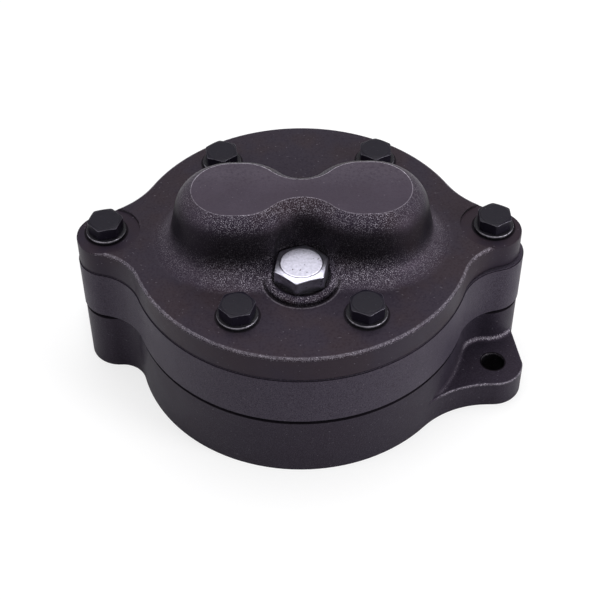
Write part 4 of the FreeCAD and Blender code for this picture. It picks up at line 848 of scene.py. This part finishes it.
gear_steel = ground_metal("gear_steel", (0.52, 0.52, 0.54, 1), 0.30)
for node in ("drive_gear", "driven_gear", "drive_shaft", "driven_shaft", "drive_key", "driven_key",
             "dowel_pins", "relief_valve"):
    dress(node, gear_steel)


# Bushings and wear plates: bearing bronze, bored and faced, dull gold with darker streaks.

bronze = ground_metal("bearing_bronze", (0.58, 0.38, 0.17, 1), 0.36)
for node in ("drive_cover_bushing", "drive_base_bushing", "driven_cover_bushing",
             "driven_base_bushing", "base_wear_plate", "cover_wear_plate"):
    dress(node, bronze)


# Seal rings and the lip seal's rubber: black nitrile, moulded, matt and a little dusty.

RUBBER_BLACK = (0.010, 0.010, 0.011, 1)
RUBBER_DUSTY = (0.035, 0.035, 0.036, 1)


def rubber(name):
    """Black rubber with a dusty bloom in patches, which are also more matt."""
    finish = Finish(name)
    bloom = finish.grain(0.004, 4.0).rise(0.45, 0.8)
    finish.set(Base_Color=finish.blend(bloom * 0.6, RUBBER_BLACK, RUBBER_DUSTY),
               Roughness=0.62 + bloom * 0.15, Normal=finish.bump(finish.grain(0.0006), 0.00003))
    return finish.material


nitrile = rubber("nitrile_rubber")
for node in ("base_joint_seal", "cover_joint_seal", "inlet_port_seal", "outlet_port_seal",
             "shaft_seal_lip", "plug_seal_ring"):
    dress(node, nitrile)


# Lip seal's case and snap ring: phosphated sheet and spring steel, dark grey.

phosphate = ground_metal("phosphated_steel", (0.20, 0.20, 0.205, 1), 0.45)
for node in ("shaft_seal_case", "seal_snap_ring"):
    dress(node, phosphate)


# Relief spring: phosphated round wire, wound cold with a closed turn at each end. It stands in the
# valve's cup and bears on the end of the plug's bore, and it is pressed shorter as the valve lifts.

SPRING_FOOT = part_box("relief_spring")[0].z
SPRING_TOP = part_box("relief_spring")[1].z
SPRING_RADIUS = 0.0039
SPRING_WIRE = 0.0007
SPRING_TURNS = 5
COIL_AROUND = 16
COIL_ROWS = 321


def coil_rings(foot, top, radius, wire, turns):
    """Rings of a wire wound on a helix. The wire's middle climbs by its own thickness in the first
    and the last turn and evenly between. Each ring lies square to the helix, in the plane of the
    outward direction and the cross product of the wire's direction with it."""
    wound = np.linspace(0, turns, COIL_ROWS)
    rise = np.interp(wound, [0, 1, turns - 1, turns],
                     [foot + wire, foot + 3 * wire, top - 3 * wire, top - wire])
    angle = wound * math.tau
    none = np.zeros(COIL_ROWS)
    outward = np.stack([np.cos(angle), np.sin(angle), none], -1)
    middle = outward * radius + np.stack([none, none, rise], -1)
    along = np.gradient(middle, axis=0)
    along /= np.linalg.norm(along, axis=1)[:, None]
    across = np.cross(along, outward)
    section = np.linspace(0, math.tau, COIL_AROUND, endpoint=False)[None, :, None]
    around = np.cos(section) * outward[:, None] + np.sin(section) * across[:, None]
    return middle[:, None] + wire * around


coil = coil_rings(SPRING_FOOT, SPRING_TOP, SPRING_RADIUS, SPRING_WIRE, SPRING_TURNS)
coil = coil + np.array([0, PLUG_Y, 0])
spring = place_piece("coil_spring", [(coil, True, np.zeros(coil.shape[:2]))], phosphate,
                     "housing", "relief_spring")
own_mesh(spring)
